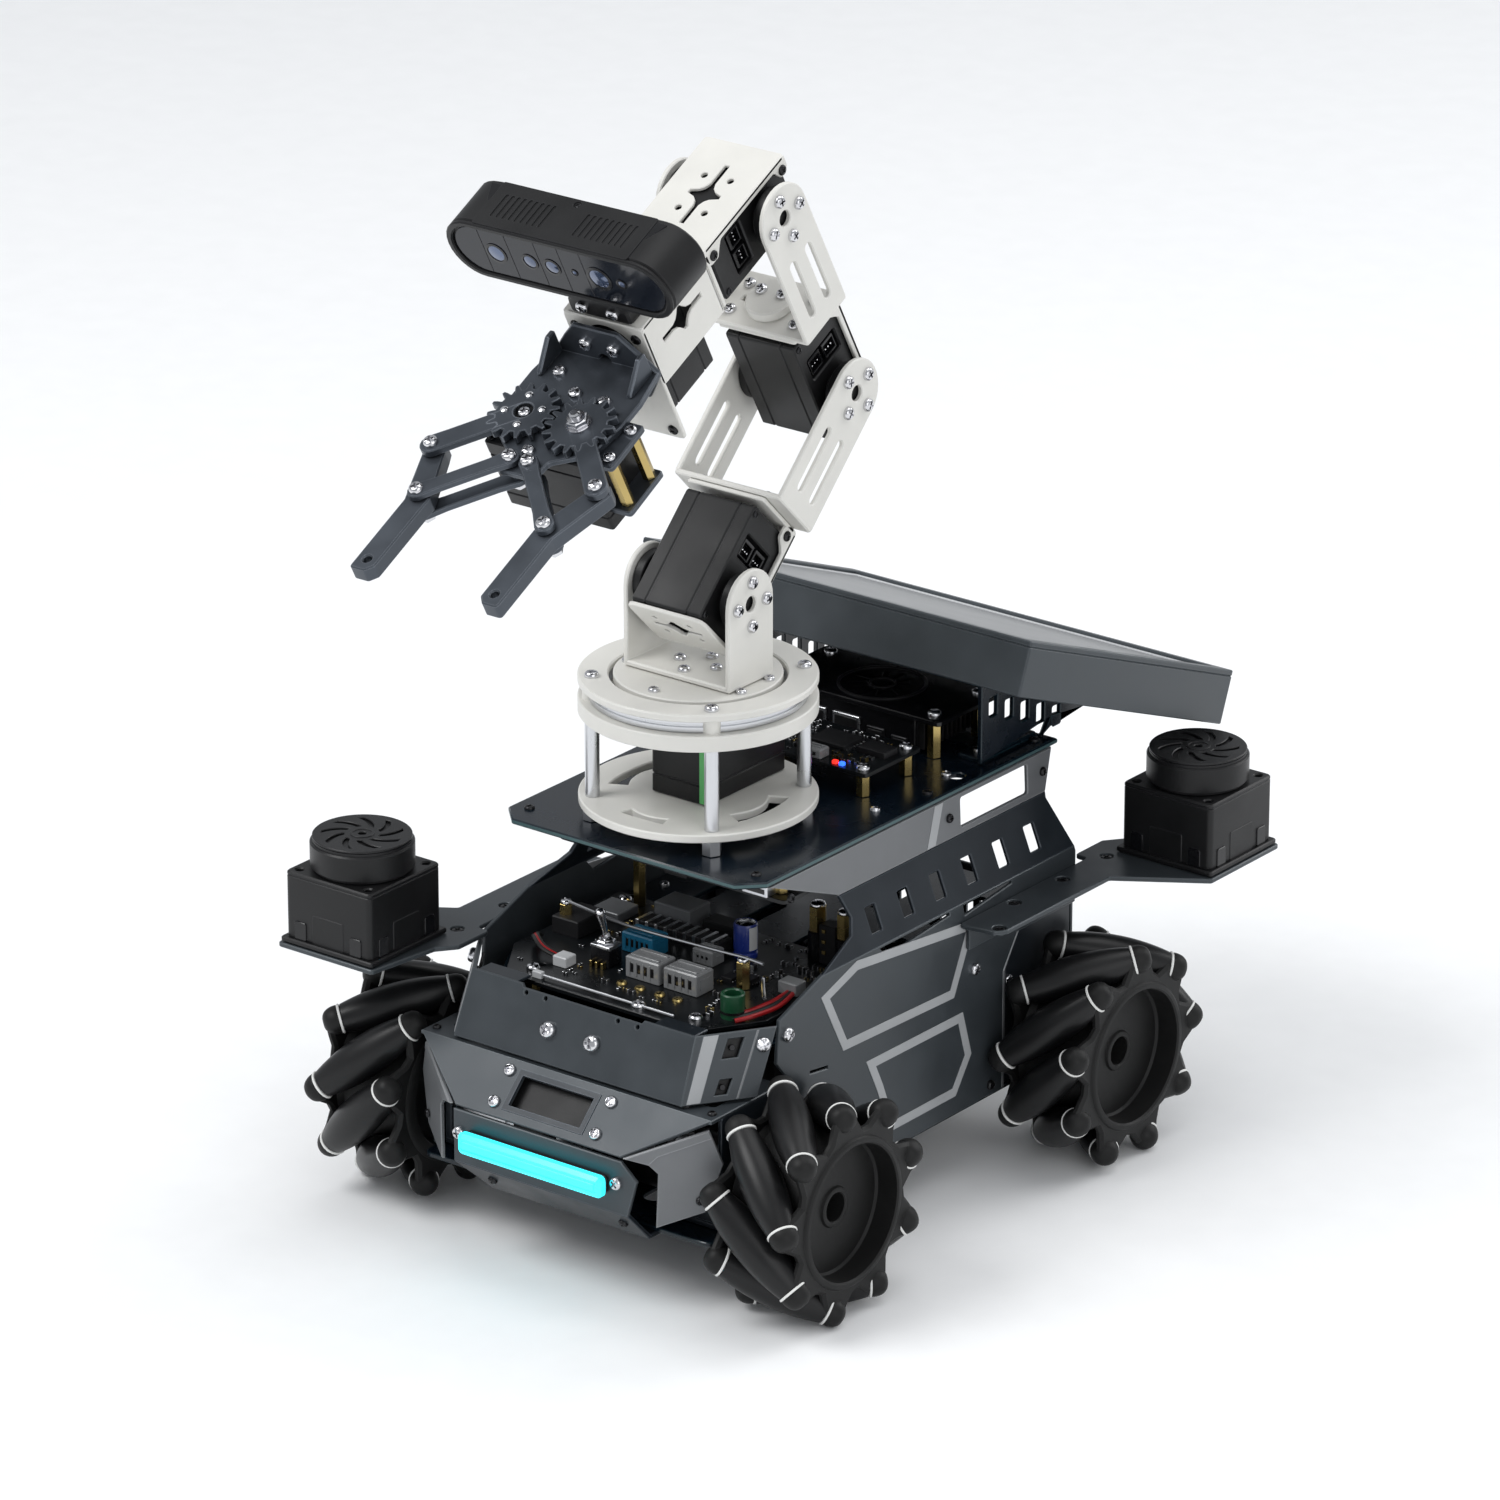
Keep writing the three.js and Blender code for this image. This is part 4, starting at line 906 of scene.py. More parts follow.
def gripper_half(name, side):
    gear_place = at_joint("gripper_close" if side < 0 else "gear_left_turn")
    gear, steel = Piece(gear_place), Piece(gear_place)
    phase = 0 if side < 0 else 180 + 180 / TEETH
    gear.plate(gear_path(phase), 0.1, 3.1, ANODISED, [circle(3.5, steps=24)] if side < 0 else (), 0.25)
    gear.plate(link_bar(side * REACH, -REACH, 4.2, 0.95), 0.16, 3.04, ANODISED,
               [circle(3.5, steps=24)] if side < 0 else (), 0.35)
    gear.rod((side * REACH, -REACH, -6.2), (side * REACH, -REACH, 3.2), 1.5, CHROME)
    gear.rod((0, 0, -2.6), (0, 0, 1.2), 4.8 if side < 0 else 2.4, PLASTIC, 24)
    steel.screw((side * REACH, -REACH, 3.1), (0, 0, 1), 2.6, spin=0.7)
    if side < 0:
        for k in range(4):
            a = TAU * k / 4 + 0.3
            steel.lathe([(0, 3), (1.5, 3), (1.4, 3.6), (0.8, 3.95), (0, 4)], CHROME, 16,
                        Matrix.Translation((7 * math.cos(a), 7 * math.sin(a), 0)))
        steel.screw((0, 0, 1.2), (0, 0, 1), 2.4)
    else:
        steel.lathe([(0, 3.1), (4.6, 3.1), (4.6, 3.8), (0, 3.8)], CHROME, 28)
        steel.nut((0, 0, 3.8), (0, 0, 1), 3.9, 2.6, CHROME)
        steel.lathe([(0, 6.3), (3.2, 6.3), (3.2, 6.9), (2, 7), (2, 8.4), (1.4, 8.9), (0, 8.9)], CHROME, 24)
    gear.make(f"gripper_gear_{name}_plate", f"gear_{name}", [f"gripper_gear_{name}"], "dark_metal")
    steel.make(f"gripper_gear_{name}_screws", f"gear_{name}", slot="bright_steel")

    place = at_joint(f"follower_{name}_turn")
    bars, heads = Piece(place), Piece(place)
    bars.plate(link_bar(side * REACH, -REACH, 3.5), 0.1, 2.6, ANODISED, (), 0.35)
    bars.plate(link_bar(side * REACH, -REACH, 3.5), -9, -6.5, ANODISED, (), 0.35)
    for x, y in ((0, 0), (side * REACH, -REACH)):
        bars.rod((x, y, -9.6), (x, y, 2.7), 1.5, CHROME)
        heads.screw((x, y, 2.6), (0, 0, 1), 2.6, spin=0.5 + x)
        heads.nut((x, y, -9), (0, 0, -1), 2.9, 2, CHROME)
    bars.make(f"follower_{name}_bars", f"follower_{name}_body", [f"follower_{name}"], "dark_metal")
    heads.make(f"follower_{name}_screws", f"follower_{name}_body", slot="bright_steel")

    finger = Piece(at_joint(f"finger_{name}_turn"))
    near, far = side * -8, -51
    path = [
        (side * 4.6, 1), (side * 2, 4.6), (side * -2.6, 4.2), (side * -4.6, 0), (near - side * 4.6, -20),
        (near - side * 4.6, far - 2), (near - side * 2, far - 5), (near + side * 4.4, far - 5),
        (near + side * 4.4, -23),
    ]
    finger.plate(rounded(path, 1.5), -6.2, -0.2, ANODISED, [circle(1.6, near, far, 16)], 0.5)
    finger.make(f"finger_{name}_plate", f"finger_{name}_body", [f"finger_{name}"], "dark_metal")


def hand():
    roll_bracket()
    depth_camera()
    palm()
    gripper_half("right", -1)
    gripper_half("left", 1)


# ---------- lidars ----------
def lidar(end, sign):
    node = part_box(f"lidar_base_{end}")
    middle = (node[0] + node[1]) / 2
    place = local_frame(Vector((middle.x, middle.y, 0)), SIDE * sign, REAR * sign, UP)
    base = Piece(place)
    holes = [circle(1.5, x, y, 14) for x in (-15.6, 15.6) for y in (-15.6, 15.6)]
    base.plate(rectangle(-20.8, 20.8, -20.8, 20.8, 1.2), 99.3, 101.2, PLASTIC, (), 0.4)
    base.plate(rectangle(-19.3, 19.3, -19.3, 19.3, 2.2), 101, 124.6, PLASTIC, (), 0.5)
    base.plate(rectangle(-19.3, 19.3, -19.3, 19.3, 2.2), 124.2, 126, PLASTIC, holes, 0.5)
    for k in range(4):
        wall = Matrix.Rotation(k * math.pi / 2, 4, "Z")
        for x in (-12.5, 12.5):
            base.plate(rounded([(x - 2.6, 101), (x + 2.6, 101), (x + 2.6, 108), (x - 2.6, 108)], 0.8),
                       19.0, 19.75, GLOSS_BLACK, (), 0.2, wall @ ALONG_Y)
        base.plate(rounded([(-7, 101), (7, 101), (7, 112), (-7, 112)], 0.8), 18.9, 19.55, PLASTIC, (), 0.2,
                   wall @ ALONG_Y)
    base.make(f"lidar_base_{end}_case", "chassis", [f"lidar_base_{end}"], "black_plastic")
    head = Piece(place)
    low, top, radius = 126.3, 138.5, 18.5
    head.lathe([(0, low), (17.4, low), (17.4, low + 1), (radius, low + 1.3), (radius, top - 2.6),
                (radius - 0.5, top - 2),
                (radius - 0.9, top - 1.9), (radius - 0.9, top - 1.0), (0, top - 1.0)], PLASTIC, 72)
    vanes = []
    for k in range(9):
        path = []
        for edge_sign in (1, -1):
            for i in range(9):
                t = i / 8 if edge_sign > 0 else 1 - i / 8
                r = 6.4 + 8.2 * t
                a = TAU * k / 9 + 0.55 * t + edge_sign * (0.15 - 0.07 * t)
                path.append((r * math.cos(a), r * math.sin(a)))
        vanes.append(path)
    vanes += [circle(1.5, 0, 0, 16)]
    head.plate(circle(radius - 0.9, steps=72), top - 0.9, top, PLASTIC, vanes, 0.25)
    head.plate(circle(4.4, steps=32), top - 0.2, top + 0.25, PLASTIC, [circle(3.4, steps=28)], 0.12)
    head.make(f"lidar_head_{end}_case", f"lidar_head_{end}_body", [f"lidar_head_{end}"], "black_plastic")


def lidar_plate(end, sign):
    place = CHASSIS @ Matrix.Translation((0, 16, 0)) @ Matrix.Rotation(0 if sign > 0 else math.pi, 4, "Z")
    sheet = Piece(place)
    path = rounded([
        (66.3, 14), (80, 16), (83, 20), (83, 82), (113.5, 102), (113.5, 144.5), (70.5, 144.5),
        (66.5, 115), (61, 108), (61, 91.5), (66.3, 91.5),
    ], 1.6)
    spots = [(71, 97), (71, 70), (70, 42), (79.5, 20)]
    sheet.plate(path, 97.2, 99, SLATE, [circle(2.6, x, y, 18) for x, y in spots], 0.3)
    sheet.box(66.4, 68, 18, 82, 88, 98.4, SLATE, 0.3, 0.6)
    for x, y in spots:
        sheet.screw((x, y, 97.9), (0, 0, 1), 2.3, DARK_SCREW, 0.9, spin=x + y)
    sheet.make(f"lidar_plate_{end}_sheet", "chassis", [f"lidar_plate_{end}"], "slate_paint")


def lidars():
    for end, sign in (("rear", 1), ("front", -1)):
        lidar(end, sign)
        lidar_plate(end, sign)


# ---------- display ----------
DISPLAY_TILT = 21.5
DISPLAY_HALF = 86
DISPLAY_DEPTH = 135
DISPLAY_THICK = 20


def display():
    place = turned(CHASSIS @ Matrix.Translation((0, 44, 206)), x=-DISPLAY_TILT)
    half, depth, thick = DISPLAY_HALF, DISPLAY_DEPTH, DISPLAY_THICK
    housing, screen = Piece(place), Piece(place)
    outer = rounded([(-half, 0), (half, 0), (half, depth), (-half, depth)], 1.2)
    opening = rectangle(6 - half, half - 6, 6, depth - 6, 1)
    inner = rectangle(1.6 - half, half - 1.6, 1.6, depth - 1.6, 0.6)
    housing.plate(outer, -2.2, 0, SLATE, [opening], 0.4)
    housing.plate(outer, -thick, -2.2, SLATE, [inner], 0.4)
    vents = [slot_hole(x, 100, x, 116, 1.2) for x in range(-32, 33, 8)]
    ports = [circle(2, sx * 60, y, 16) for sx in (-1, 1) for y in (24, 110)]
    housing.plate(inner, -thick + 0.6, -thick + 2.2, SLATE, vents + ports, 0.2)
    for sx in (-1, 1):
        for y in (12, 122):
            housing.screw((sx * 79, y, -thick + 0.6), (0, 0, -1), 2.2, DARK_SCREW, 1, spin=y)
    screen.plate(opening, -3.2, -1.2, BEZEL, [rectangle(9 - half, half - 9, 9, depth - 9, 0.8)], 0.3)
    # The screen glass carries a painted reflection as its mid grey colour.
    screen.plate(rectangle(8.8 - half, half - 8.8, 8.8, depth - 8.8, 0.8), -3.2, -1.7, SCREEN_PAINTED_REFLECTION, (), 0.2)
    housing.make("display_housing_case", "chassis", ["display_housing"], "slate_paint")
    screen.make("display_screen_panel", "chassis", ["display_screen"], "screen_glass")


def display_bracket():
    sheet, steel = Piece(CHASSIS), Piece(CHASSIS)
    slope = math.tan(math.radians(DISPLAY_TILT))

    def under(y):
        return 186.8 - slope * (y - 36.6)

    wall = [(62, 145.2), (100, 145.2), (104, 151), (126, under(126) - 3), (126, under(126) - 0.1),
            (62, under(62) - 0.1)]
    slots = []
    for i in range(5):
        y = 66.5 + i * 9.6
        slots.append(rounded([(y, under(y) - 13), (y + 5, under(y) - 13), (y + 5, under(y) - 5.5),
                              (y, under(y) - 5.5)], 0.8))
    for near in (-52, 50):
        sheet.plate(rounded(wall, 1.2), near, near + 2, NAVY, slots, 0.3, ALONG_X)
    top = [(62, under(62) - 1.8), (126, under(126) - 1.8), (126, under(126)), (62, under(62))]
    sheet.plate(top, -51.8, 51.8, NAVY, (), 0.3, ALONG_X)
    for near in (-50, 40):
        sheet.box(near, near + 10, 64, 98, 145.2, 146.8, NAVY, 0.3, 1)
        for y in (70, 92):
            steel.screw((near + 5, y, 146.8), (0, 0, 1), 2.4, spin=y)
    sheet.make("display_bracket_sheet", "chassis", ["display_bracket"], "navy_paint")
    steel.make("display_bracket_screws", "chassis", slot="bright_steel")


# ---------- shell ----------
SHEET = 1.6
DECK_Z = 145
TRAY_Z = 85.6
BOARD_Z = 93
AXLE_Z = 40
HALF_BASE = 84          # half the wheelbase
SIDE_X = 66             # outer face of the side panels
FLOOR_Z = 24            # underside of the bottom plate


def face_frame(origin, up_point, outward):
    """Frame in a flat sheet's outer face: +X level, +Y towards `up_point`, +Z outward."""
    origin, z_axis = Vector(origin), Vector(outward)
    rise = (Vector(up_point) - origin).normalized()
    x_axis = rise.cross(z_axis - rise * z_axis.dot(rise)).normalized()
    turn = Matrix((x_axis, rise, x_axis.cross(rise))).transposed().to_4x4()
    return Matrix.Translation(origin) @ turn


def folded(piece, corners, outward, material, holes=(), thick=SHEET, round_off=0):
    """A flat sheet with its outer face through the corners; holes are given as 3-D points too."""
    a, b, c = (Vector(p) for p in corners[:3])
    normal = (b - a).cross(c - a).normalized()
    if normal.dot(Vector(outward)) < 0:
        normal = -normal
    level = UP.cross(normal).normalized()
    place = Matrix.Translation(a) @ Matrix((level, normal.cross(level), normal)).transposed().to_4x4()
    back = place.inverted()

    def flat(points):
        return [tuple((back @ Vector(p)).xy) for p in points]
    path = flat(corners)
    if round_off:
        path = rounded(path, round_off)
    piece.plate(path, -thick, 0, material, [flat(h) for h in holes], place=place)
    return place, flat


def raised(piece, place, path, material, height=0.22, holes=()):
    """A painted mark that stands a little above a sheet."""
    piece.plate(path, -0.4, height, material, holes, 0.06, place)


def side_panel(name, side):
    mirror = CHASSIS @ Matrix.Diagonal((side, 1, 1, 1))
    sheet, marks, steel = Piece(mirror), Piece(mirror), Piece(mirror)
    lower = [(-20, 26), (58, 26), (58, 72), (66, 84), (101, 84), (101, 104), (100.2, 106), (-49.3, 106),
             (-73.4, 97.4), (-75, 81.5), (-69, 74.4), (-64, 66), (-46, 54), (-28, 40)]
    wedges = [[(-16, 104.9), (25, 104.9), (25, 103.8), (-12, 100.6)],
              [(33, 104.9), (62, 104.9), (62, 103.9), (34, 100.8)],
              [(-56, 72.4), (-46, 71.0), (-46, 69.9), (-56, 71.3)]]
    sheet.plate(lower, SIDE_X - SHEET, SIDE_X, SLATE, wedges, place=ALONG_X)
    band = face_frame((SIDE_X, 0, 106), (57.5, 0, 127), (1, 0, 0.4))
    outline = [(-49.3, 0), (100.2, 0), (93, 20.5), (93.6, 22.66), (-28.5, 22.66), (-25.7, 13.7), (-28.5, 8)]
    slots = [rectangle(y - 3, y + 3, 4.9, 14.6, 0.7) for y in (-15 + 18.8 * i for i in range(6))]
    sheet.plate(outline, -SHEET, 0, SLATE_DARK, slots, place=band)
    wall = face_frame((57.5, 0, 127), (56.8, 0, 142.5), (1, 0, 0))
    outline = [(93.6, 0), (98, 15.4), (-67, 15.4), (-28.5, 0)]
    sheet.plate(outline, -SHEET, 0, GREY, [rectangle(43, 83, 2.5, 13.5, 1.2)], place=wall)
    raised(marks, wall, [(22.6, 0.4), (27.4, 0.4), (32.6, 15.1), (27.8, 15.1)], STRIPE)
    upper = [(39.9, 97.5), (-29.5, 105), (-50.1, 98), (-37.3, 73.6), (27.6, 71.4)]
    lower = [(-23.9, 64.7), (33, 64.1), (38.4, 46.4), (29.1, 33), (-10, 33), (-17.3, 51.3)]
    outer = Matrix.Translation((SIDE_X, 0, 0)) @ ALONG_X
    for ring in (upper, lower):
        path = counterclockwise(ring)
        raised(marks, outer, path, STRIPE, holes=[inset(path, 3.5)])
    steel.screw((SIDE_X, 39.7, 78.6), (1, 0, 0), 2.3, spin=0.3)
    steel.screw((SIDE_X, -69.4, 91), (1, 0, 0), 2.7, spin=0.9)
    for y, z in ((90, 96), (92, 88), (50, 30), (-12, 30)):
        steel.screw((SIDE_X, y, z), (1, 0, 0), 1.9, DARK_SCREW, spin=y)
    for y in (-56, 36, 92):
        steel.screw((57.1, y, 135), (1, 0, 0.045), 1.7, DARK_SCREW, spin=y)
    sheet.box(54.6, 64.6, -14, 52, 26.2, 27.8, SLATE_DARK)      # inner flange on the bottom plate
    # wall behind the rear wheel, with a folded edge
    arch = [(56, 26.2), (101, 26.2), (101, 83.7), (56, 83.7)]
    sheet.plate(arch, 62.4, 63.6, SLATE_DARK, [circle(7, HALF_BASE, AXLE_Z, 28)], place=ALONG_X)
    sheet.box(63.2, 66.25, 57.1, 58.3, 26.4, 72, GREY, 0.2)
    sheet.plate([(58.3, 72), (66.4, 84.2), (65.4, 84.2), (57.2, 72)], 63.2, 66.25, GREY, (), 0.2, ALONG_X)
    for y, z in ((63, 66), (63, 34), (97, 66), (97, 34)):
        steel.screw((63.6, y, z), (1, 0, 0), 2, CHROME, spin=z)
    sheet.make(name + "_sheet", "chassis", [name], "slate_paint")
    marks.make(name + "_marks", "chassis", slot="grey_paint")
    steel.make(name + "_screws", "chassis", slot="bright_steel")


def upper_fascia():
    sheet, steel = Piece(CHASSIS), Piece(CHASSIS)
    front = [(-49.4, -99, 96), (-27, -99, 96), (-26, -99.5, 94.8), (26, -99.5, 94.8), (27, -99, 96),
             (49.4, -99, 96), (50.3, -108.7, 73.2), (-50.3, -108.7, 73.2)]
    holes = [[(x + u, -100.1 - w * 0.39, 93.3 - w * 0.92) for u, w in circle(0.85, steps=12)]
             for x in (16, 24.6, -16, -24.6)]
    place, _ = folded(sheet, front, (0, -1, 0.4), SLATE, holes)
    normal = place.to_3x3() @ Vector((0, 0, 1))
    for x in (-11.3, 8.1):
        steel.screw((x, -104.15, 84), normal, 3.1, spin=x)
    for side in (1, -1):
        wing = [(side * 49.4, -99, 96), (side * 66, -75, 96), (side * 66, -86, 73.2),
                (side * 50.3, -108.7, 73.2)]
        a, b, c, d = (Vector(p) for p in wing)

        def at(u, v, a=a, b=b, c=c, d=d):
            """A point on the wing: u across from the front edge, v down from the top."""
            return (a * (1 - u) + b * u) * (1 - v) + (d * (1 - u) + c * u) * v
        holes = [[at(u, v) for u, v in ((0.42, 0.10), (0.62, 0.10), (0.60, 0.38), (0.40, 0.38))],
                 [at(u, v) for u, v in ((0.44, 0.68), (0.60, 0.68), (0.58, 0.90), (0.42, 0.90))]]
        place, flat = folded(sheet, wing, (side, -0.7, 0.4), SLATE, holes)
        stripe = flat([at(0.10, 0.02), at(0.285, 0.02), at(0.245, 0.98), at(0.07, 0.98)])
        raised(sheet, place, stripe, STRIPE)
        # Painted highlight: a lighter grey line where the wing's fold would catch the light; the wing itself
        # stays flat.
        painted_fold_highlight = flat([at(0.76, 0.02), at(0.785, 0.02), at(0.745, 0.98), at(0.72, 0.98)])
        raised(sheet, place, painted_fold_highlight, GREY, 0.14)
        normal = place.to_3x3() @ Vector((0, 0, 1))
        steel.screw(at(0.88, 0.24), normal, 2.7, spin=0.2)
        inner = [at(u, v) - normal * 2.4 for u, v in ((0.36, 0.06), (0.66, 0.06), (0.64, 0.94), (0.36, 0.94))]
        folded(sheet, inner, (side, -0.7, 0.4), PLASTIC, thick=1)
        for v in (0.24, 0.8):
            sheet.rod(at(0.51, v) - normal * 2.3, at(0.51, v) - normal * 0.9, 1.1, DARK_SCREW, 12)
    for x0, x1 in ((-48, -30), (30, 48)):                       # mounting tabs under the board
        sheet.box(x0, x1, -98.6, -90.5, 94.2, 95.4, SLATE_DARK)
    sheet.make("upper_fascia_sheet", "chassis", ["upper_fascia"], "slate_paint")
    steel.make("upper_fascia_screws", "chassis", slot="bright_steel")


def slanted_panel():
    sheet, steel = Piece(CHASSIS), Piece(CHASSIS)
    face = [(-64.3, -109.5, 72), (64.3, -109.5, 72), (36.5, -125, 56.5), (-36.5, -125, 56.5)]
    window = [(-15.6, -113, 68.5), (15.9, -113, 68.5), (15.9, -121.2, 60.3), (-15.6, -121.2, 60.3)]
    place, flat = folded(sheet, face, (0, -1, 1), SLATE, [window])
    behind = [(x * 1.25, y + 2.6 + s, z - 2.6 + s) for (x, y, z), s in zip(window, (1.4, 1.4, -1.4, -1.4))]
    folded(sheet, behind, (0, -1, 1), PLASTIC, thick=1)
    frame_path = counterclockwise(flat(window))
    raised(sheet, place, inset(frame_path, -2.2), SLATE_DARK, 0.35, [frame_path])
    for x, y, z in ((-21.7, -112.6, 68.9), (-21.7, -121.4, 60.1), (23.2, -112.6, 68.9), (23.2, -121.4, 60.1)):
        steel.screw((x, y, z), (0, -1, 1), 2.3, spin=x + z)
    shelf = [(-64.3, -109.6), (64.3, -109.6), (64.3, -70), (-64.3, -70)]
    opening = rectangle(-58, 58, -100, -71.6, 2)
    sheet.plate(shelf, 70.4, 72, SLATE, [opening])
    for side in (1, -1):
        wall = rounded([(-104, 71.2), (-70, 71.2), (-70, 26.1), (-104, 26.1)], 2)
        sheet.plate(wall, 62.7, 64.3, SLATE_DARK, [circle(7, -HALF_BASE, AXLE_Z, 28)],
                    place=Matrix.Diagonal((side, 1, 1, 1)) @ ALONG_X)
        for y, z in ((-98, 60), (-75, 60), (-98, 32), (-75, 32)):
            steel.screw((side * 64.3, y, z), (side, 0, 0), 1.9, DARK_SCREW, spin=y)
        for x in (61, 50):
            steel.screw((side * x, -105, 72), (0, 0, 1), 1.6, DARK_SCREW, spin=x)
    sheet.make("slanted_panel_sheet", "chassis", ["slanted_panel"], "slate_paint")
    steel.make("slanted_panel_screws", "chassis", slot="bright_steel")


def lower_bumper():
    sheet, steel, lit = Piece(CHASSIS), Piece(CHASSIS), Piece(CHASSIS)
    upright = [(-37, -125.5, 55), (37, -125.5, 55), (44, -125.5, 49), (40, -125.5, 35), (-37, -125.5, 35)]
    folded(sheet, upright, (0, -1, 0), SLATE)
    chin = [(-37, -125.5, 35), (40, -125.5, 35), (40, -113, 22), (-30, -113, 22)]
    folded(sheet, chin, (0, -1, -1), SLATE_DARK)
    sheet.plate(rounded([(-30, -113), (40, -113), (40, -98), (-30, -98)], 1.5), 22, 23.7, SLATE_DARK)
    for x in (-24, 34):
        steel.screw((x, -104, 22), (0, 0, -1), 1.8, DARK_SCREW, spin=x)
        steel.screw((x, -120, 29.3), (0, -0.72, -0.69), 1.8, DARK_SCREW, spin=x)
    for x in (-34.4, 35.4):
        steel.screw((x, -125.5, 46.5), (0, -1, 0), 2.4, spin=x)
    bar = rounded([(-30.6, 42), (32, 42), (32, 48.6), (-30.6, 48.6)], 1.6)
    lit.plate(bar, 125.6, 127, PLASTIC, (), 0.3, ALONG_Y)
    glow = rounded([(-31, 41.4), (32.6, 41.4), (32.6, 49.2), (-31, 49.2)], 2.2)
    lit.plate(glow, 126.8, 131.6, LED_CYAN, (), 1.3, ALONG_Y)
    lit.plate(inset(glow, 2.4), 131.4, 131.85, LED_CYAN, (), 0.2, ALONG_Y)
    sheet.make("lower_bumper_sheet", "chassis", ["lower_bumper"], "slate_paint")
    steel.make("lower_bumper_screws", "chassis", slot="bright_steel")
    lit.make("light_bar_lamp", "chassis", ["light_bar"], "light_bar")


def fender(name, side):
    sheet = Piece(CHASSIS @ Matrix.Diagonal((side, 1, 1, 1)))
    run = Vector((28, 19.3, 0)).normalized()
    flat = [(0.5, 56.5), (30, 68), (35, 55.3), (28.9, 37.1), (11.8, 30.7), (12.5, 51), (9.3, 54.1)]
    outward = (0.57, -0.83, 0)
    push = Vector((0.57, -0.82, 0))

    def at(s, z):
        """A point s along the fender's foot from its inner front corner."""
        return Vector((38 + run.x * s, -126 + run.y * s, z))
    corners = [at(s, z) for s, z in flat]
    place, to_flat = folded(sheet, corners, outward, GREY, thick=1.4)
    facet = [(0.5, 56.5), (30, 68), (31.4, 64.8), (12.6, 57.4), (9.3, 54.1)]
    lip = to_flat([at(s, z) for s, z in facet])
    raised(sheet, place, inset(counterclockwise(lip), 0.35), GREY, 0.3)
    sheet.screw(at(27, 41.5) + push * 0.4, outward, 1.5, DARK_SCREW, spin=27)
    for s in (10, 17, 24):                                      # struts back to the slanted panel
        top = at(s, 57 + s * 0.35)
        sheet.rod(top - push * 1.2, top + Vector((-3.2, 4.6, 0.6)), 1.3, DARK_SCREW, 12)
    sheet.make(name + "_sheet", "chassis", [name], "grey_paint")


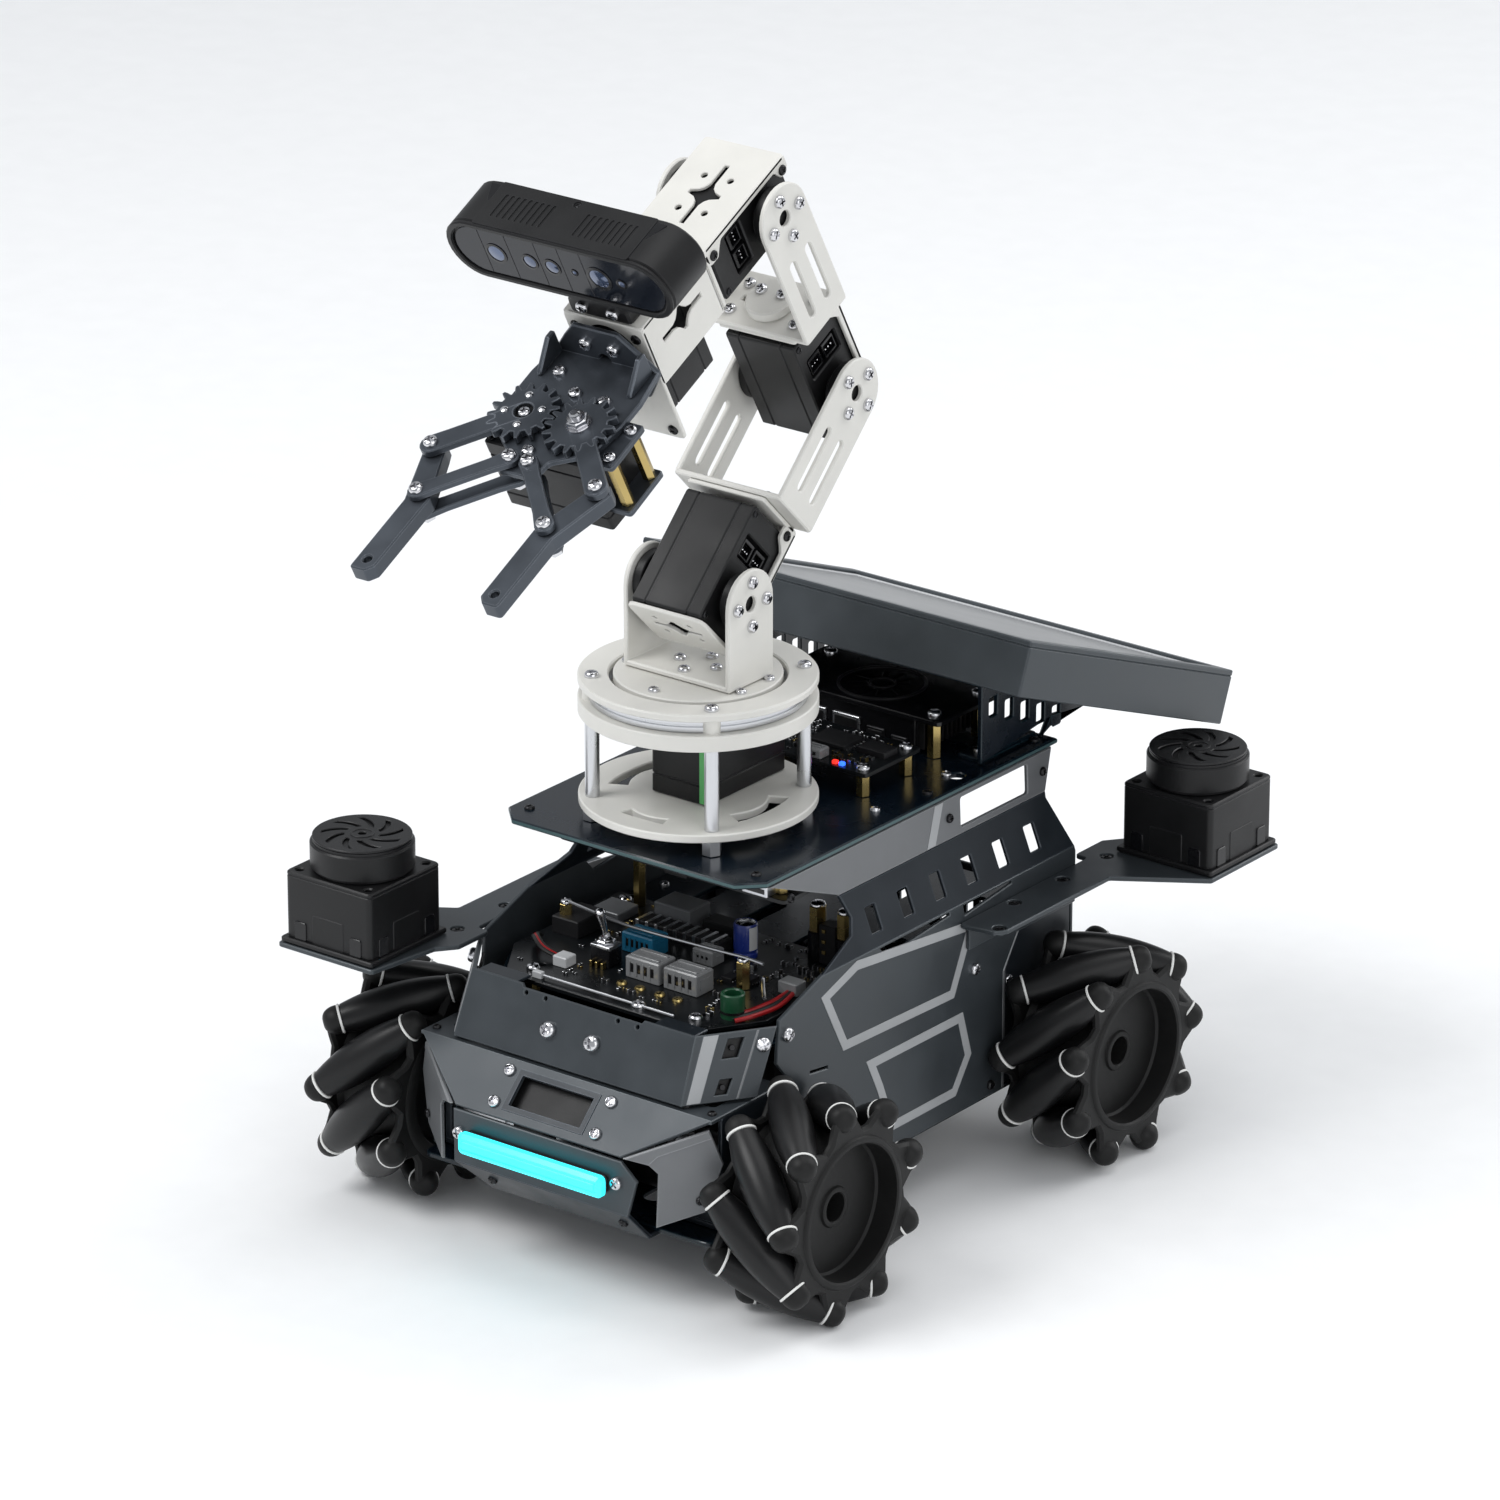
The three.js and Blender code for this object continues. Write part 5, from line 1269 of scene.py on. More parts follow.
def decks():
    """Top deck, middle tray, bottom plate and rear panel."""
    deck = Piece(CHASSIS)
    path = [(-57, 101), (-57, -69), (-49, -77), (49, -77), (57, -69), (57, 101)]
    vents = [slot_hole(-12, 97.5, 12, 97.5, 1.6)] + [circle(3, x, 50, 20) for x in (-50, 50)]
    deck.plate(path, DECK_Z - 2.2, DECK_Z, NAVY, vents, 0.45)
    path = counterclockwise(path)
    deck.plate(inset(path, -0.05), DECK_Z - 1.7, DECK_Z - 0.5, TEAL_EDGE, [inset(path, 1.2)], 0.1)
    for x, y in ((-50, -66), (50, -66), (-52, 94), (52, 94), (-52, 30), (52, 30), (26, 50), (-26, 50)):
        deck.screw((x, y, DECK_Z), (0, 0, 1), 1.9, DARK_SCREW, 1.1, spin=x + y)
    for x, y in ((47, 48), (47, 6)):
        deck.screw((x, y, DECK_Z), (0, 0, 1), 1.9, CHROME, 1.3, spin=x + y)
    deck.make("top_deck_sheet", "chassis", ["top_deck"], "navy_paint")

    tray = Piece(CHASSIS)
    path = rounded([(64.1, -60), (64.1, 98), (-64.1, 98), (-64.1, -60), (-46, -92), (46, -92)], 2)
    slots = [slot_hole(x, y, x, y + 26, 3) for x in (-40, -14, 14, 40) for y in (4, 52)]
    tray.plate(path, TRAY_Z - SHEET, TRAY_Z, NAVY, slots)
    for x, y in ((-58, -56), (58, -56), (-58, 92), (58, 92), (-58, 20), (58, 20), (-40, -84), (40, -84)):
        tray.screw((x, y, TRAY_Z), (0, 0, 1), 1.9, CHROME, spin=x + y)
    tray.make("middle_tray_sheet", "chassis", ["middle_tray"], "navy_paint")

    plate = Piece(CHASSIS)
    cutouts = [slot_hole(x, y, x, y + 20, 4) for y in (-90, 68) for x in (-24, 24)]
    cutouts += [circle(5, 0, y, 24) for y in (-80, 78)] + [slot_hole(x, -30, x, 34, 2.4) for x in (-46, 46)]
    plate.plate(rounded([(-64, -110), (64, -110), (64, 102), (-64, 102)], 4), FLOOR_Z, 25.7, NAVY, cutouts)
    for side in (1, -1):
        plate.plate([(-30, 24.7), (55, 24.7), (55, 39), (54, 40), (-29, 40), (-30, 39)], 62.5, 64.1, NAVY,
                    [slot_hole(y, 32, y + 12, 32, 2) for y in (-22, 2, 26)],
                    place=Matrix.Diagonal((side, 1, 1, 1)) @ ALONG_X)
    for x in (-58, 58):
        for y in (-98, -70, -40, 0, 44, 70, 96):
            plate.screw((x, y, FLOOR_Z), (0, 0, -1), 2, DARK_SCREW, spin=x + y)
    for x in (-34, 34):
        for y in (-44, 42):
            plate.screw((x, y, FLOOR_Z), (0, 0, -1), 2.2, CHROME, spin=x + y)
    for y in (-52, 50):
        plate.box(-30, 30, y - 2, y + 2, 22.8, 24.1, NAVY, 0.4, 1)          # stiffening ribs underneath
    plate.make("bottom_plate_sheet", "chassis", ["bottom_plate"], "navy_paint")

    back = Piece(CHASSIS)
    vents = [slot_hole(x, 62, x, 76, 1.5) for x in range(-30, 31, 6)]
    ports = [rectangle(-48, -34, 36, 44, 1), circle(4.2, 44, 40, 24), circle(3.2, 30, 40, 24)]
    back.plate(rounded([(-63, 27), (63, 27), (63, 86), (-63, 86)], 3), -103.9, -102.3, SLATE, vents + ports,
               place=ALONG_Y)
    back.box(-47.5, -34.5, 98, 103.1, 36.5, 43.5, PLASTIC)
    back.box(-45, -37, 101, 103.5, 38.4, 39.8, GLOSS_BLACK, 0.1)
    back.rod((44, 97, 40), (44, 104.6, 40), 4, DARK_SCREW, 24, 0.5)
    back.rod((44, 104, 40), (44, 105.4, 40), 2.6, CHROME, 20, 0.3)
    back.rod((30, 97, 40), (30, 104.3, 40), 3, PLASTIC, 20, 0.4)
    back.rod((30, 104, 40), (30, 104.9, 40), 1.5, LED_BLUE, 16, 0.3)
    for x in (-58, 58):
        for z in (32, 56, 81):
            back.screw((x, 103.9, z), (0, 1, 0), 2, CHROME, spin=x + z)
    stripe = [(-60, 50), (-20, 50), (-14, 56), (14, 56), (20, 50), (60, 50), (60, 52.2), (21, 52.2),
              (15, 58.2), (-15, 58.2), (-21, 52.2), (-60, 52.2)]
    back.plate(stripe, -104.15, -103.5, STRIPE, (), 0.06, ALONG_Y)
    back.make("rear_panel_sheet", "chassis", ["rear_panel"], "slate_paint")


def motor(name, side, y):
    """Geared motor: can, gearbox, face bracket and shaft into the wheel."""
    place = CHASSIS @ Matrix.Diagonal((side, 1, 1, 1)) @ Matrix.Translation((0, y, AXLE_Z)) @ ALONG_X
    can = Piece(place)
    can.lathe([(0, 10), (4, 10), (4.4, 10.4), (4.4, 11.4), (10.6, 11.4), (12.2, 12.6), (12.2, 36),
               (11.6, 36.4), (11.6, 37.2),
               (12.5, 37.6), (12.5, 57.6), (12.1, 58), (12.1, 59.2), (0, 59.2)], ALUMINIUM, 48)
    can.lathe([(12.25, 15), (12.35, 15.2), (12.35, 33.8), (12.25, 34), (11.8, 34), (11.8, 15)], PLASTIC, 48)
    can.rod((0, 0, 58), (0, 0, 79), 2.9, CHROME, 24)
    can.rod((0, 0, 62), (0, 0, 64.5), 5.4, BRASS, 28, 0.4)
    for a in range(4):
        x, z = 10.4 * math.cos(a * math.pi / 2 + 0.78), 10.4 * math.sin(a * math.pi / 2 + 0.78)
        can.screw((x, z, 61.9), (0, 0, 1), 1.6, DARK_SCREW, spin=a)
    can.box(-5, 5, 9.8, 12.6, 12.6, 16, PLASTIC)
    for x in (-3, 3):
        can.wire([(x, 11.5, 13.4), (x, 12.6, 11), (x * 0.6, 11, 8.6), (x * 0.5, 5, 7)], 0.7,
                 RED_WIRE if x < 0 else BLACK_WIRE, 6)
    # the bracket's own frame: x along the robot, y up from the axle, z outwards
    face = rounded([(-16, 26 - AXLE_Z), (16, 26 - AXLE_Z), (16, 57 - AXLE_Z), (-16, 57 - AXLE_Z)], 2.4)
    can.plate(face, 59.2, 61.9, SLATE_DARK, [circle(6.5, steps=28)])
    can.box(-16, 16, 26 - AXLE_Z, 27.9 - AXLE_Z, 42, 61.9, SLATE_DARK)
    for x in (-11, 11):
        can.screw((x, 27.9 - AXLE_Z, 48), (0, 1, 0), 1.9, CHROME, spin=x)
        can.plate([(-14, 43), (-14, 59.4), (0, 59.4)], x * 1.32 - 0.7, x * 1.32 + 0.7, SLATE_DARK,
                  place=Matrix(((0, 0, 1, 0), (1, 0, 0, 0), (0, 1, 0, 0), (0, 0, 0, 1))))
    can.make(name + "_can", "chassis", [name], "motor_steel")


def shell():
    for name, side in (("side_panel_left", 1), ("side_panel_right", -1)):
        side_panel(name, side)
    upper_fascia()
    slanted_panel()
    lower_bumper()
    fender("fender_left", 1)
    fender("fender_right", -1)
    decks()
    for end, y in (("front", -HALF_BASE), ("rear", HALF_BASE)):
        for name, side in (("left", 1), ("right", -1)):
            motor(f"motor_{end}_{name}", side, y)


# ---------- electronics ----------
CONTROLLER_LOW, CONTROLLER_TOP = 128.4, 130     # board hanging under the deck
HUB_LOW, HUB_TOP = 153.4, 155                   # board standing on the deck
LID_LOW, LID_TOP = 159, 161                     # lid of the computer case
FAN_Y = 73


def parts_on_board(piece, seed, area, top, count, keep_out=(), tallest=2.2):
    """Small chips, resistors and capacitors scattered over a board, always the same way."""
    chance = random.Random(seed)
    x0, x1, y0, y1 = area
    placed = list(keep_out)
    for _ in range(count * 6):
        if count <= 0:
            break
        kind = chance.random()
        long, wide, high = 1.7, 0.9, 0.6
        if kind > 0.86:
            long, wide, high = 5.5, 4.5, 1.3
        elif kind > 0.5:
            long, wide, high = 2.6, 1.5, 1.0
        if chance.random() > 0.5:
            long, wide = wide, long
        x, y = chance.uniform(x0, x1 - long), chance.uniform(y0, y1 - wide)
        if any(x < b and x + long > a and y < d and y + wide > c for a, b, c, d in placed):
            continue
        count -= 1
        placed.append((x - 0.7, x + long + 0.7, y - 0.7, y + wide + 0.7))
        high = min(high * chance.uniform(0.8, 1.5), tallest)
        piece.box(x, x + long, y, y + wide, top - 0.1, top + high, CHIP, 0.1)
        metal = ALUMINIUM if chance.random() > 0.2 else BRASS
        if long > 4 or wide > 4:
            for i in range(4):
                t = y + wide * (i + 0.5) / 4
                piece.box(x - 0.5, x + long + 0.5, t - 0.2, t + 0.2, top - 0.05, top + 0.25, metal, 0.05)
        elif long > wide:
            for a in (x - 0.05, x + long - 0.4):
                piece.box(a, a + 0.45, y - 0.04, y + wide + 0.04, top - 0.05, top + high + 0.04, metal, 0.05)
        else:
            for a in (y - 0.05, y + wide - 0.4):
                piece.box(x - 0.04, x + long + 0.04, a, a + 0.45, top - 0.05, top + high + 0.04, metal, 0.05)


def standoff(piece, x, y, z0, z1, radius=2.7, screw=True):
    piece.plate(circle(radius, x, y, 6), z0, z1, BRASS, (), 0.3)
    if screw:
        piece.screw((x, y, z1), (0, 0, 1), radius * 0.86, CHROME, 1.3, spin=x + y)


def slotted_plug(piece, x0, x1, y0, y1, z0, z1, material, teeth=4):
    """A moulded connector block, with slots in its front face and ribs on top."""
    piece.box(x0, x1, y0, y1, z0, z1, material, 0.5, 0.6)
    step = (x1 - x0 - 3) / teeth
    for i in range(teeth):
        x = x0 + 1.5 + step * i
        piece.box(x + step * 0.28, x + step * 0.72, y0 - 0.12, y0 + 0.5, z0 + 2.6, z1 - 2.2, GLOSS_BLACK,
                  0.05)
        piece.box(x + step * 0.1, x + step * 0.24, y0 - 0.35, y0 + 0.5, z0 + 1.4, z1 - 1.4, material, 0.08)
    piece.box(x0 + 1.4, x1 - 1.4, y0 + 1.6, y0 + 3.0, z1 - 0.2, z1 + 0.45, material, 0.12)
    piece.box(x0 + 1.4, x1 - 1.4, y1 - 3.2, y1 - 2.0, z1 - 0.2, z1 + 0.45, material, 0.12)
    piece.box(x1 - 0.4, x1 + 0.3, y0 + 2, y1 - 2, z0 + 2, z1 - 2, material, 0.1)


def driver_board():
    board, parts, wires = Piece(CHASSIS), Piece(CHASSIS), Piece(CHASSIS)
    path = rounded([(-42, -90), (42, -90), (56, -68), (56, -8), (-56, -8), (-56, -68)], 1.2)
    corners = [(-36, -82), (36, -82), (-49, -14), (49, -14)]
    board.plate(path, BOARD_Z - SHEET, BOARD_Z, LAMINATE, [circle(1.5, x, y + 5.2, 14) for x, y in corners],
                0.15)
    for x, y in corners:
        standoff(parts, x, y, TRAY_Z, BOARD_Z - SHEET, 3, False)
        parts.screw((x, y, BOARD_Z), (0, 0, 1), 2.6, spin=x)
    plugs = ((-6.6, 8.3), (10.2, 25))
    for x0, x1 in plugs:
        slotted_plug(parts, x0, x1, -67.3, -57.5, BOARD_Z - 0.2, 101, SOCKET_CLEAR)
    for x in (-3.6, 4.4, 13.2, 21.0):                           # solder pads in front of the plugs
        parts.lathe([(0, BOARD_Z - 0.1), (2, BOARD_Z - 0.1), (2, BOARD_Z + 0.25), (1.6, BOARD_Z + 0.9),
                     (0.9, BOARD_Z + 1.1), (0, BOARD_Z + 1.1)], BRASS, 20, Matrix.Translation((x, -73, 0)))
    # capacitor: sleeve with a silver stripe and a scored can top
    at = Matrix.Translation((15.5, -27.2, 0))
    parts.lathe([(0, 93), (4.2, 93), (4.3, 93.4), (4.3, 94.6), (4.0, 95), (4.0, 95.5), (4.3, 95.9),
                 (4.3, 105.2), (4.0, 105.8), (3.6, 105.8), (3.6, 105.4), (0, 105.4)], BLUE_SLEEVE, 40, at)
    parts.lathe([(0, 105), (3.5, 105), (3.5, 105.75), (3.1, 105.95), (0, 105.95)], CHROME, 32, at)
    parts.box(-0.35, 0.35, -3, 3, 105.8, 106, ALUMINIUM, 0.08, place=at)
    stripe = [(math.cos(math.radians(a)) * r, math.sin(math.radians(a)) * r)
              for r, turn in ((4.45, range(-35, 16, 5)), (4.1, range(15, -36, -5))) for a in turn]
    parts.plate(stripe, 96.4, 105, SOCKET_WHITE, (), 0.05, at)
    # green hollow coil former at the front corner
    parts.lathe([(2.9, 95), (2.9, 101.6), (3.3, 102), (3.9, 102), (4.3, 101.6), (4.3, 93), (0, 93), (0, 95)],
                GREEN, 36, Matrix.Translation((44.5, -72, 0)))
    parts.lathe([(4.7, 95), (4.7, 95.8), (4.4, 95.8), (4.4, 95)], DARK_SCREW, 36,
                Matrix.Translation((44.5, -72, 0)))
    standoff(parts, 32.5, -50.5, BOARD_Z, 103.4, 2.6)
    # toggle switch body with its lock nut
    parts.box(-23, -15, -66.4, -58.4, BOARD_Z, 100.6, GLOSS_BLACK, 0.4, 0.7)
    parts.box(-23.2, -14.8, -66, -58.8, 99.6, 100.9, ALUMINIUM, 0.15)
    parts.nut((-19, -62.4, 100.9), (0, 0, 1), 3.4, 1.3, CHROME)
    parts.lathe([(2.4, 100.9), (2.4, 102.6), (1.9, 102.9), (1.5, 102.9), (1.5, 100.9)], CHROME, 28,
                Matrix.Translation((-19, -62.4, 0)))
    for x in (-21.5, -19, -16.5):
        parts.box(x - 0.5, x + 0.5, -68.2, -66.2, BOARD_Z, 95.4, BRASS, 0.1)
    # socket rows behind the plugs
    slotted_plug(parts, -22, -8, -50, -41, BOARD_Z - 0.2, 100.5, BLUE_BLOCK, 5)
    slotted_plug(parts, 4, 13, -43, -36, BOARD_Z - 0.2, 98.6, SOCKET_CLEAR, 3)
    parts.box(-30, 8, -33, -25, BOARD_Z - 0.2, 97.4, CHIP, 0.4, 0.5)
    parts.box(-28, -12, -24, -12, BOARD_Z - 0.2, 101.6, GREY, 0.4, 0.6)
    parts.box(-8, 8, -22, -14, BOARD_Z - 0.2, 99, CHIP, 0.4, 0.5)
    parts.box(-52, -40, -52, -36, BOARD_Z - 0.2, 99.4, CHIP, 0.4, 0.6)
    parts.box(-50, -38, -32, -20, BOARD_Z - 0.2, 96.4, GREY, 0.3, 0.5)
    for i in range(9):
        parts.box(-29 + 4.2 * i, -27.6 + 4.2 * i, -33.3, -24.7, 95, 97.7, ALUMINIUM, 0.1)
    # long stay above the board, resting on the standoffs
    wires.wire([(-49, -47.4, 104.2), (-30, -50.6, 104.3), (-11.6, -52.2, 104.4), (19.6, -51.2, 104.6),
                (32.5, -50.5, 104.7), (41.2, -50.4, 104.3)], 0.6, ALUMINIUM, 8)
    standoff(parts, -42.2, -14, BOARD_Z, 113, 2.4)
    standoff(parts, -49, -47.4, BOARD_Z, 103.4, 2.4)
    for x in (37.3, 49.4):                                      # brass posts on dark sleeves at the left edge
        parts.lathe([(0, BOARD_Z), (3.4, BOARD_Z), (3.6, BOARD_Z + 0.4), (3.6, 103.8), (3.2, 104.2),
                     (0, 104.2)],
                    GLOSS_BLACK, 24, Matrix.Translation((x, -14, 0)))
        standoff(parts, x, -14, 104, 113.6, 3.2)
    parts.box(40, 47, -17, -11, BOARD_Z, 108, CHIP, 0.4)
    for z in (97, 101, 105):
        parts.box(41.4, 43, -17.4, -16.8, z, z + 1.4, BRASS, 0.1)
    # bent silver lead at the left edge
    wires.wire([(40, -48, 93), (40, -49.5, 97.4), (41.4, -51, 98.6), (47, -58, 98.8), (52, -64, 99)], 0.8,
               CHROME, 10)
    for k in range(3):
        wires.wire([(48.5 - 2 * k, -76 + k, 93.6), (52.6 - 1.7 * k, -70, 94.6 + 0.3 * k),
                    (54 - 1.7 * k, -58, 94.5 + 0.3 * k),
                    (50 - k, -44, 94)], 0.85, RED_WIRE if k != 1 else BLACK_WIRE)
    wires.box(44, 52, -46, -40, BOARD_Z - 0.2, 97.6, SOCKET_CLEAR, 0.4, 0.5)
    for k in range(3):
        wires.wire([(-50, -60 - 2 * k, 95), (-47, -66 - k, 98), (-40, -70 - k, 96.5), (-31, -70 - k, 94.6)],
                   0.8, RED_WIRE if k == 1 else BLACK_WIRE)
    wires.box(-33, -27, -75, -69, BOARD_Z - 0.2, 96.8, SOCKET_WHITE, 0.4, 0.5)
    parts.rod((-30, -86.5, 94.2), (30, -86.5, 94.2), 0.55, ALUMINIUM, 10)
    parts.box(-32, -28, -87.6, -85.4, BOARD_Z - 0.1, 95.4, SOCKET_WHITE, 0.2)
    parts.screw((14, -86, BOARD_Z), (0, 0, 1), 2.7, CHROME, 2.2, spin=0.8)
    blocked = [(33, 54, -19, -9), (-47, -38, -18, -9), (-53, -45, -52, -43), (-24, -13, -70, -57),
               (-8, 27, -76, -56), (10, 29, -33, -15), (39, 50, -78, -66), (29, 36, -54, -47),
               (-24, 14, -53, -35), (-31, 9, -34, -11), (-53, -37, -53, -19), (37, 55, -66, -38),
               (-52, -26, -76, -58), (-33, 33, -89, -84)]
    blocked += [(x - 4, x + 4, y - 4, y + 4) for x, y in corners]
    parts_on_board(parts, 7, (-50, 50, -80, -10), BOARD_Z, 90, blocked)
    board.make("driver_board_laminate", "chassis", ["driver_board"], "laminate")
    parts.make("driver_board_parts", "chassis")
    wires.make("driver_board_wires", "chassis")


def controller_board():
    board, parts = Piece(CHASSIS), Piece(CHASSIS)
    holes = [circle(1.5, x, 8, 14) for x in (-47, 47)]
    board.plate(rectangle(-50, 50, -50, 20, 2), CONTROLLER_LOW, CONTROLLER_TOP, LAMINATE, holes, 0.15)
    for x, y in ((-44, -44), (44, -44), (-44, 14), (44, 14)):
        standoff(parts, x, y, CONTROLLER_TOP, DECK_Z - 2.2, 2.6, False)
        parts.screw((x, y, CONTROLLER_LOW), (0, 0, -1), 2.4, CHROME, 1.3, spin=x)
    parts.box(-20, 16, -30, 6, 129.8, 134, CHIP, 0.5, 1)
    for i in range(9):
        parts.box(-18 + 4 * i, -16.4 + 4 * i, -28, 4, 133.6, 137.5, ALUMINIUM, 0.15)
    for x, z in ((-40, 135), (-25, 133), (24, 136), (38, 134)):
        parts.box(x - 5.5, x + 5.5, -51.5, -38, 129.8, z, ALUMINIUM, 0.3, 0.5)
        parts.box(x - 4.4, x + 4.4, -51.7, -49, 131, z - 1.2, GLOSS_BLACK, 0.1)
    under = Matrix.Translation((0, 0, 2 * CONTROLLER_LOW)) @ Matrix.Diagonal((1, 1, -1, 1))
    for x0, x1, y0, y1, h in ((-38, -20, -30, -12, 2.2), (6, 20, -34, -20, 1.6), (-6, 4, -46, -36, 3.2),
                              (24, 40, 0, 12, 2)):
        parts.box(x0, x1, y0, y1, 128.2, CONTROLLER_LOW + h, CHIP, 0.3, 0.4, under)
    parts_on_board(parts, 11, (-46, 46, -34, 16), CONTROLLER_TOP, 50, [(-21, 17, -31, 7),
                                                                       (-48, -40, 10, 18), (40, 48, 10, 18)])
    board.make("controller_board_laminate", "chassis", ["controller_board"], "laminate")
    parts.make("controller_board_parts", "chassis")


def hub_board():
    board, parts = Piece(CHASSIS), Piece(CHASSIS)
    board.plate(rectangle(-36, 39, 11, 44, 1.5), HUB_LOW, HUB_TOP, LAMINATE, (), 0.15)
    for x, y in ((-32, 15), (35, 15), (-32, 40), (35, 40)):
        standoff(parts, x, y, DECK_Z, HUB_LOW, 2.6, False)
        parts.screw((x, y, HUB_TOP), (0, 0, 1), 2.5, CHROME, 1.7, spin=x + y)
    parts.box(-20, -8, 12, 22, 154.8, 159, ALUMINIUM, 0.3, 0.5)
    parts.box(-19, -9, 11.8, 13.4, 155.6, 158.2, GLOSS_BLACK, 0.1)
    parts.box(4, 20, 24, 36, 154.8, 156.8, CHIP, 0.3, 0.4)
    for i in range(6):
        parts.box(3.2, 20.8, 25 + 1.9 * i, 25.8 + 1.9 * i, 154.9, 155.6, ALUMINIUM, 0.05)
    slotted_plug(parts, 8, 18, 12.4, 18, 154.8, 158.6, SOCKET_CLEAR, 3)
    for x, material in ((24, LED_RED), (27, LED_BLUE)):
        parts.box(x - 1, x + 1, 12.4, 14.2, 154.8, 156.2, material, 0.25, 0.4)
    parts.box(24, 36, 26, 34, 154.8, 157.6, CHIP, 0.3, 0.4)
    parts.box(-30, -12, 28, 38, 154.8, 157.8, SOCKET_WHITE, 0.3, 0.4)
    parts.box(-28.6, -13.4, 29.2, 36.8, 157.2, 157.9, GLOSS_BLACK, 0.1)
    parts_on_board(parts, 5, (-34, 37, 12.5, 42.5), HUB_TOP, 60,
                   [(-37, -28, 11, 19), (31, 40, 11, 19), (-37, -28, 36, 45), (31, 40, 36, 45),
                    (-21, -7, 11, 23),
                    (2, 22, 23, 37), (7, 19, 12, 19), (22, 29, 12, 15), (23, 37, 25, 35), (-31, -11, 27, 39)])
    board.make("hub_board_laminate", "chassis", ["hub_board"], "laminate")
    parts.make("hub_board_parts", "chassis")


def computer_case():
    case, steel = Piece(CHASSIS), Piece(CHASSIS)
    grille = [slot_hole(14 * math.cos(a) * 0.45, FAN_Y + 14 * math.sin(a) * 0.45, 14 * math.cos(a) * 0.86,
                        FAN_Y + 14 * math.sin(a) * 0.86, 0.8) for a in (TAU * k / 12 for k in range(12))]
    case.plate(rectangle(-39, 39, 54, 92, 2.5), LID_LOW, LID_TOP, GLOSS_BLACK, grille, 0.35)
    for outer, inner in ((16.4, 15.2), (5, 4.2)):
        case.lathe([(inner, 160.9), (inner, 161.4), (inner + 0.3, 161.6), (outer - 0.3, 161.6),
                    (outer, 161.4), (outer, 160.9)], PLASTIC, 56, Matrix.Translation((0, FAN_Y, 0)))
    case.lathe([(0, 156), (14.5, 156), (14.5, 156.6), (0, 156.6)], DARK_SCREW, 40,
               Matrix.Translation((0, FAN_Y, 0)))
    case.box(-28, 27, 56, 90, DECK_Z + 1.2, 159.1, GLOSS_BLACK, 0.5, 1)
    for i in range(12):                                         # cooling fins along both sides
        y = 58 + 2.7 * i
        case.box(26.6, 30.2, y - 0.45, y + 0.45, DECK_Z + 2.4, 158, PLASTIC, 0.15)
        case.box(-31.2, -27.6, y - 0.45, y + 0.45, DECK_Z + 2.4, 158, PLASTIC, 0.15)
    for x0, x1, z0, z1, material in ((-24, -12, 148, 154, ALUMINIUM), (-9, 3, 148, 154, ALUMINIUM),
                                     (6, 14, 148, 152, DARK_SCREW), (17, 24, 148, 151, DARK_SCREW)):
        case.box(x0, x1, 55.2, 58, z0, z1, material, 0.25, 0.4)
        case.box(x0 + 1, x1 - 1, 55.0, 57, z0 + 1, z1 - 1, PLASTIC, 0.1)
    for x, y in ((-33, 59.6), (33, 59.6), (-33, 86), (33, 86)):
        standoff(steel, x, y, DECK_Z, LID_LOW, 2.7, False)
        steel.screw((x, y, LID_TOP), (0, 0, 1), 2.5, CHROME, 1.7, spin=x + y)
    case.make("computer_case_shell", "chassis", ["computer_case"], "black_plastic")
    steel.make("computer_case_standoffs", "chassis")


def battery_pack():
    pack = Piece(CHASSIS)
    pack.box(-32, 32, -50, 48, 25.8, 62, PLASTIC, 2.4, 4)
    for y in (-28, 24):
        pack.box(-32.3, 32.3, y - 6, y + 6, 25.8, 62.3, STRAP, 2.5, 3.2)
        pack.box(-9, 9, y - 7, y + 7, 62.2, 63.2, DARK_SCREW, 0.3, 0.8)
    pack.box(-24, 24, -14, 12, 61.8, 62.25, STRIPE, 0.1, 1.5)
    pack.box(-20, -4, 44, 49, 48, 56, SOCKET_WHITE, 0.4)
    for k, material in enumerate((RED_WIRE, BLACK_WIRE)):
        pack.wire([(-16 + 7 * k, 48, 52), (-16 + 7 * k, 55, 53), (-12 + 7 * k, 62, 44), (-12 + 7 * k, 68, 33),
                   (-12 + 7 * k, 76, 27.6)], 1.4, material)
    pack.make("battery_pack_block", "chassis", ["battery_pack"], "black_plastic")


def power_toggle():
    pivot = joint_at("power_toggle_tilt")
    lever = Piece(Matrix.Translation(pivot) @ Matrix.Rotation(math.radians(18), 4, "X") @ Matrix.Scale(MM, 4))
    lever.lathe([(0, -1.5), (1.1, -1.1), (1.5, 0), (1.2, 0.9), (1.0, 1.4), (1.05, 3), (1.35, 7), (1.7, 9.4),
                 (1.75, 10.4), (1.35, 11.3), (0.7, 11.65), (0, 11.7)], CHROME, 28)
    lever.make("power_toggle_lever", "toggle", ["power_toggle"], "bright_steel")


def electronics():
    driver_board()
    controller_board()
    hub_board()
    computer_case()
    battery_pack()
    power_toggle()


# ---------- studio ----------
CAMERA_AZIMUTH = 37.63
CAMERA_ELEVATION = 21.72
CAMERA_DISTANCE = 3.052
CAMERA_FIELD = 10.08
CAMERA_TARGET = Vector((-0.0384, 0.0515, 0.1347))


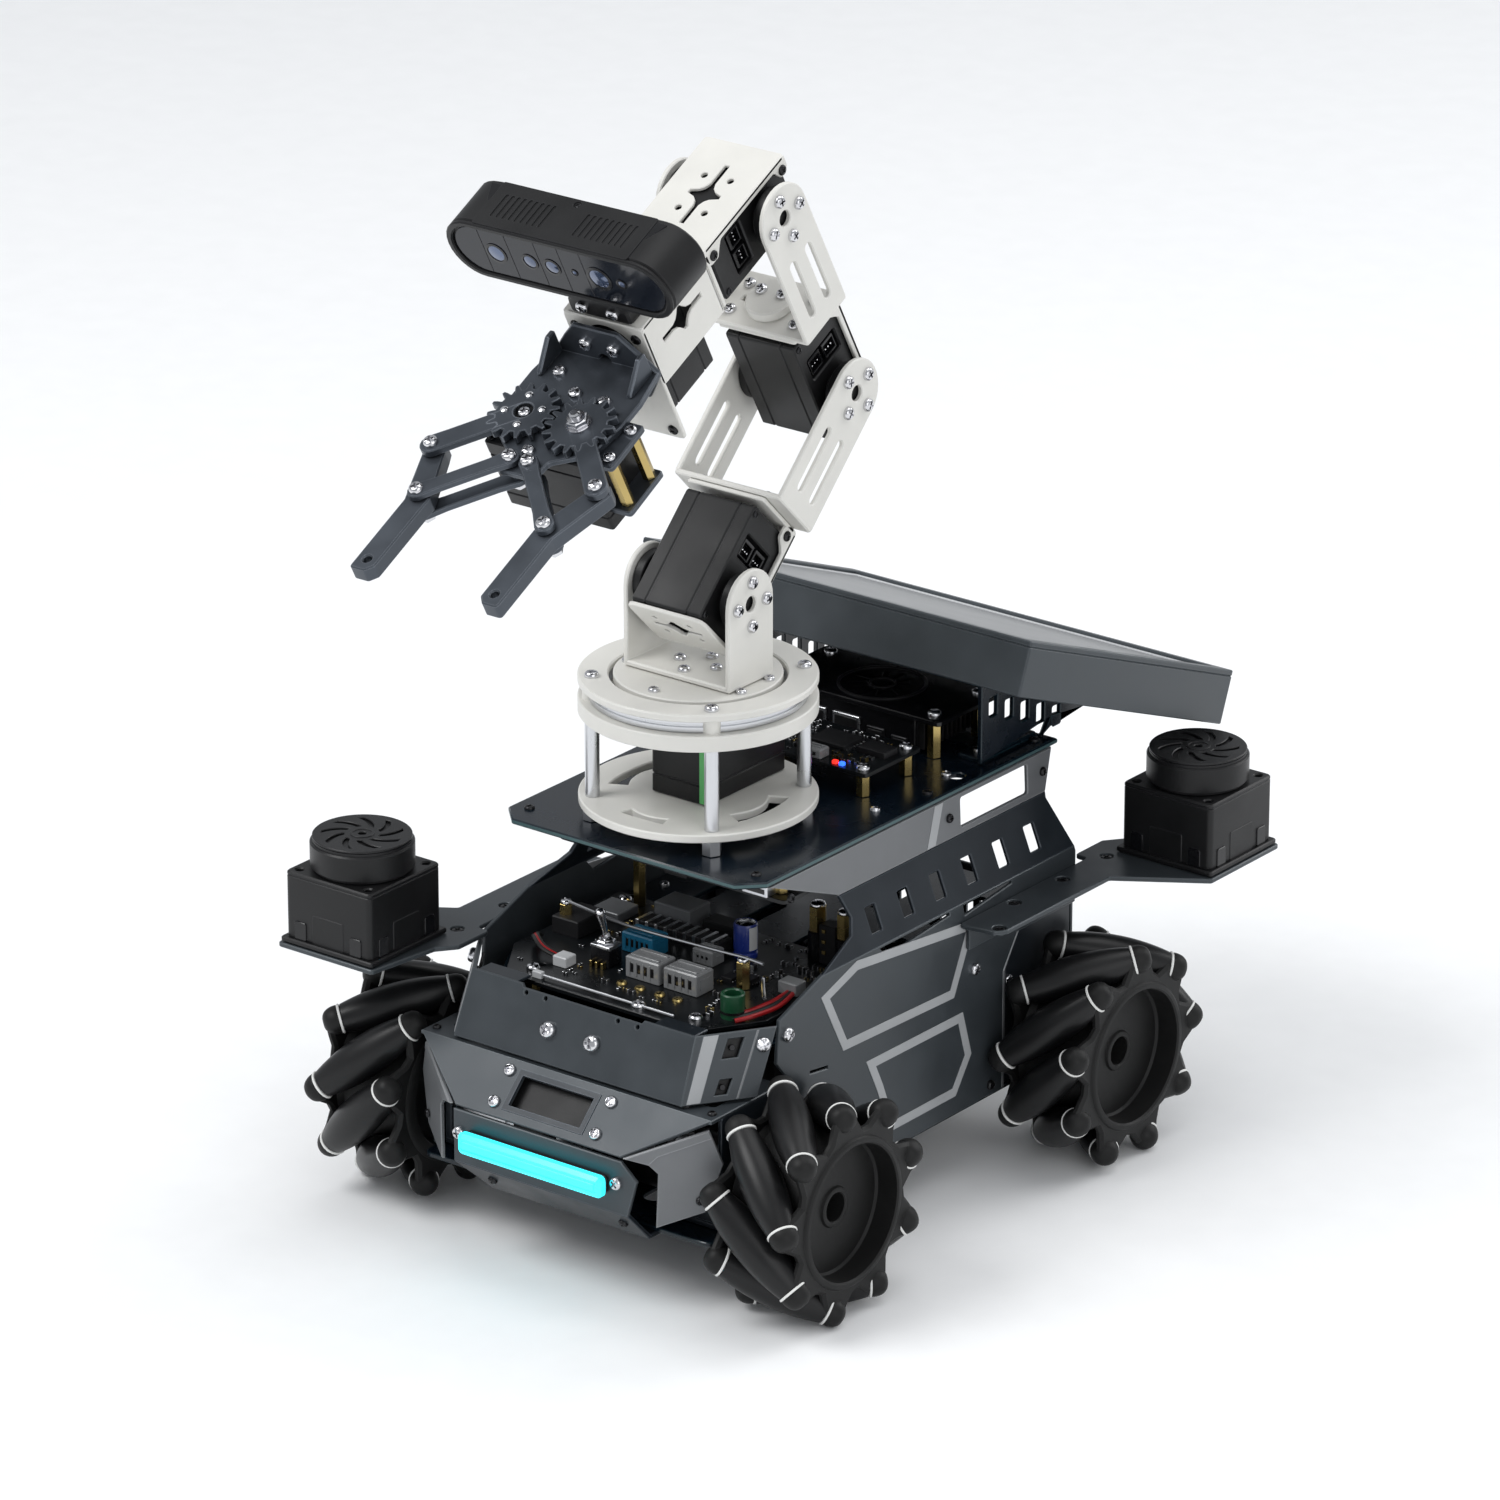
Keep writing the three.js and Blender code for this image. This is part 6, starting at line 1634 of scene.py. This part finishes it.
def studio():
    a, e = math.radians(CAMERA_AZIMUTH), math.radians(CAMERA_ELEVATION)
    back = Vector((math.sin(a) * math.cos(e), -math.cos(a) * math.cos(e), math.sin(e)))
    data = bpy.data.cameras.new("camera")
    data.angle = math.radians(CAMERA_FIELD)
    data.clip_start, data.clip_end = 0.1, 50
    camera = bpy.data.objects.new("camera", data)
    camera.location = CAMERA_TARGET + back * CAMERA_DISTANCE
    camera.rotation_mode = "QUATERNION"
    camera.rotation_quaternion = (-back).to_track_quat("-Z", "Y")
    bpy.context.scene.collection.objects.link(camera)
    bpy.context.scene.camera = camera

    floor_mesh = bpy.data.meshes.new("floor")
    floor_mesh.from_pydata([(-30, -30, 0), (30, -30, 0), (30, 30, 0), (-30, 30, 0)], [], [(0, 1, 2, 3)])
    floor = bpy.data.objects.new("floor", floor_mesh)
    bpy.context.scene.collection.objects.link(floor)
    floor_mesh.materials.append(surface("floor", (0.93, 0.935, 0.94), 0.75, 0.0, 20, 0.01, 0.01,
                                        rough_vary=0.02))

    lights = (
        ("key", (-0.9, -1.3, 2.0), 1.2, 31),
        ("side_fill", (1.9, -0.9, 1.0), 1.6, 11),
        ("top", (0.2, 0.5, 2.2), 1.6, 14),
        ("rim", (0.9, 2.0, 1.3), 1.2, 14),
    )
    for name, at, size, power in lights:
        light = bpy.data.lights.new(name, "AREA")
        light.shape = "SQUARE"
        light.size = size
        light.energy = power
        lamp = bpy.data.objects.new(name, light)
        lamp.location = at
        lamp.rotation_mode = "QUATERNION"
        lamp.rotation_quaternion = (Vector((0, 0, 0.12)) - Vector(at)).to_track_quat("-Z", "Y")
        bpy.context.scene.collection.objects.link(lamp)
    world = bpy.data.worlds.new("studio")
    world.use_nodes = True
    background = world.node_tree.nodes["Background"]
    background.inputs["Color"].default_value = (0.93, 0.96, 1.0, 1)
    background.inputs["Strength"].default_value = 0.5
    bpy.context.scene.world = world
    bpy.context.scene.view_settings.view_transform = "Standard"


studio()
wheels()
arm()
hand()
lidars()
display()
display_bracket()
shell()
electronics()
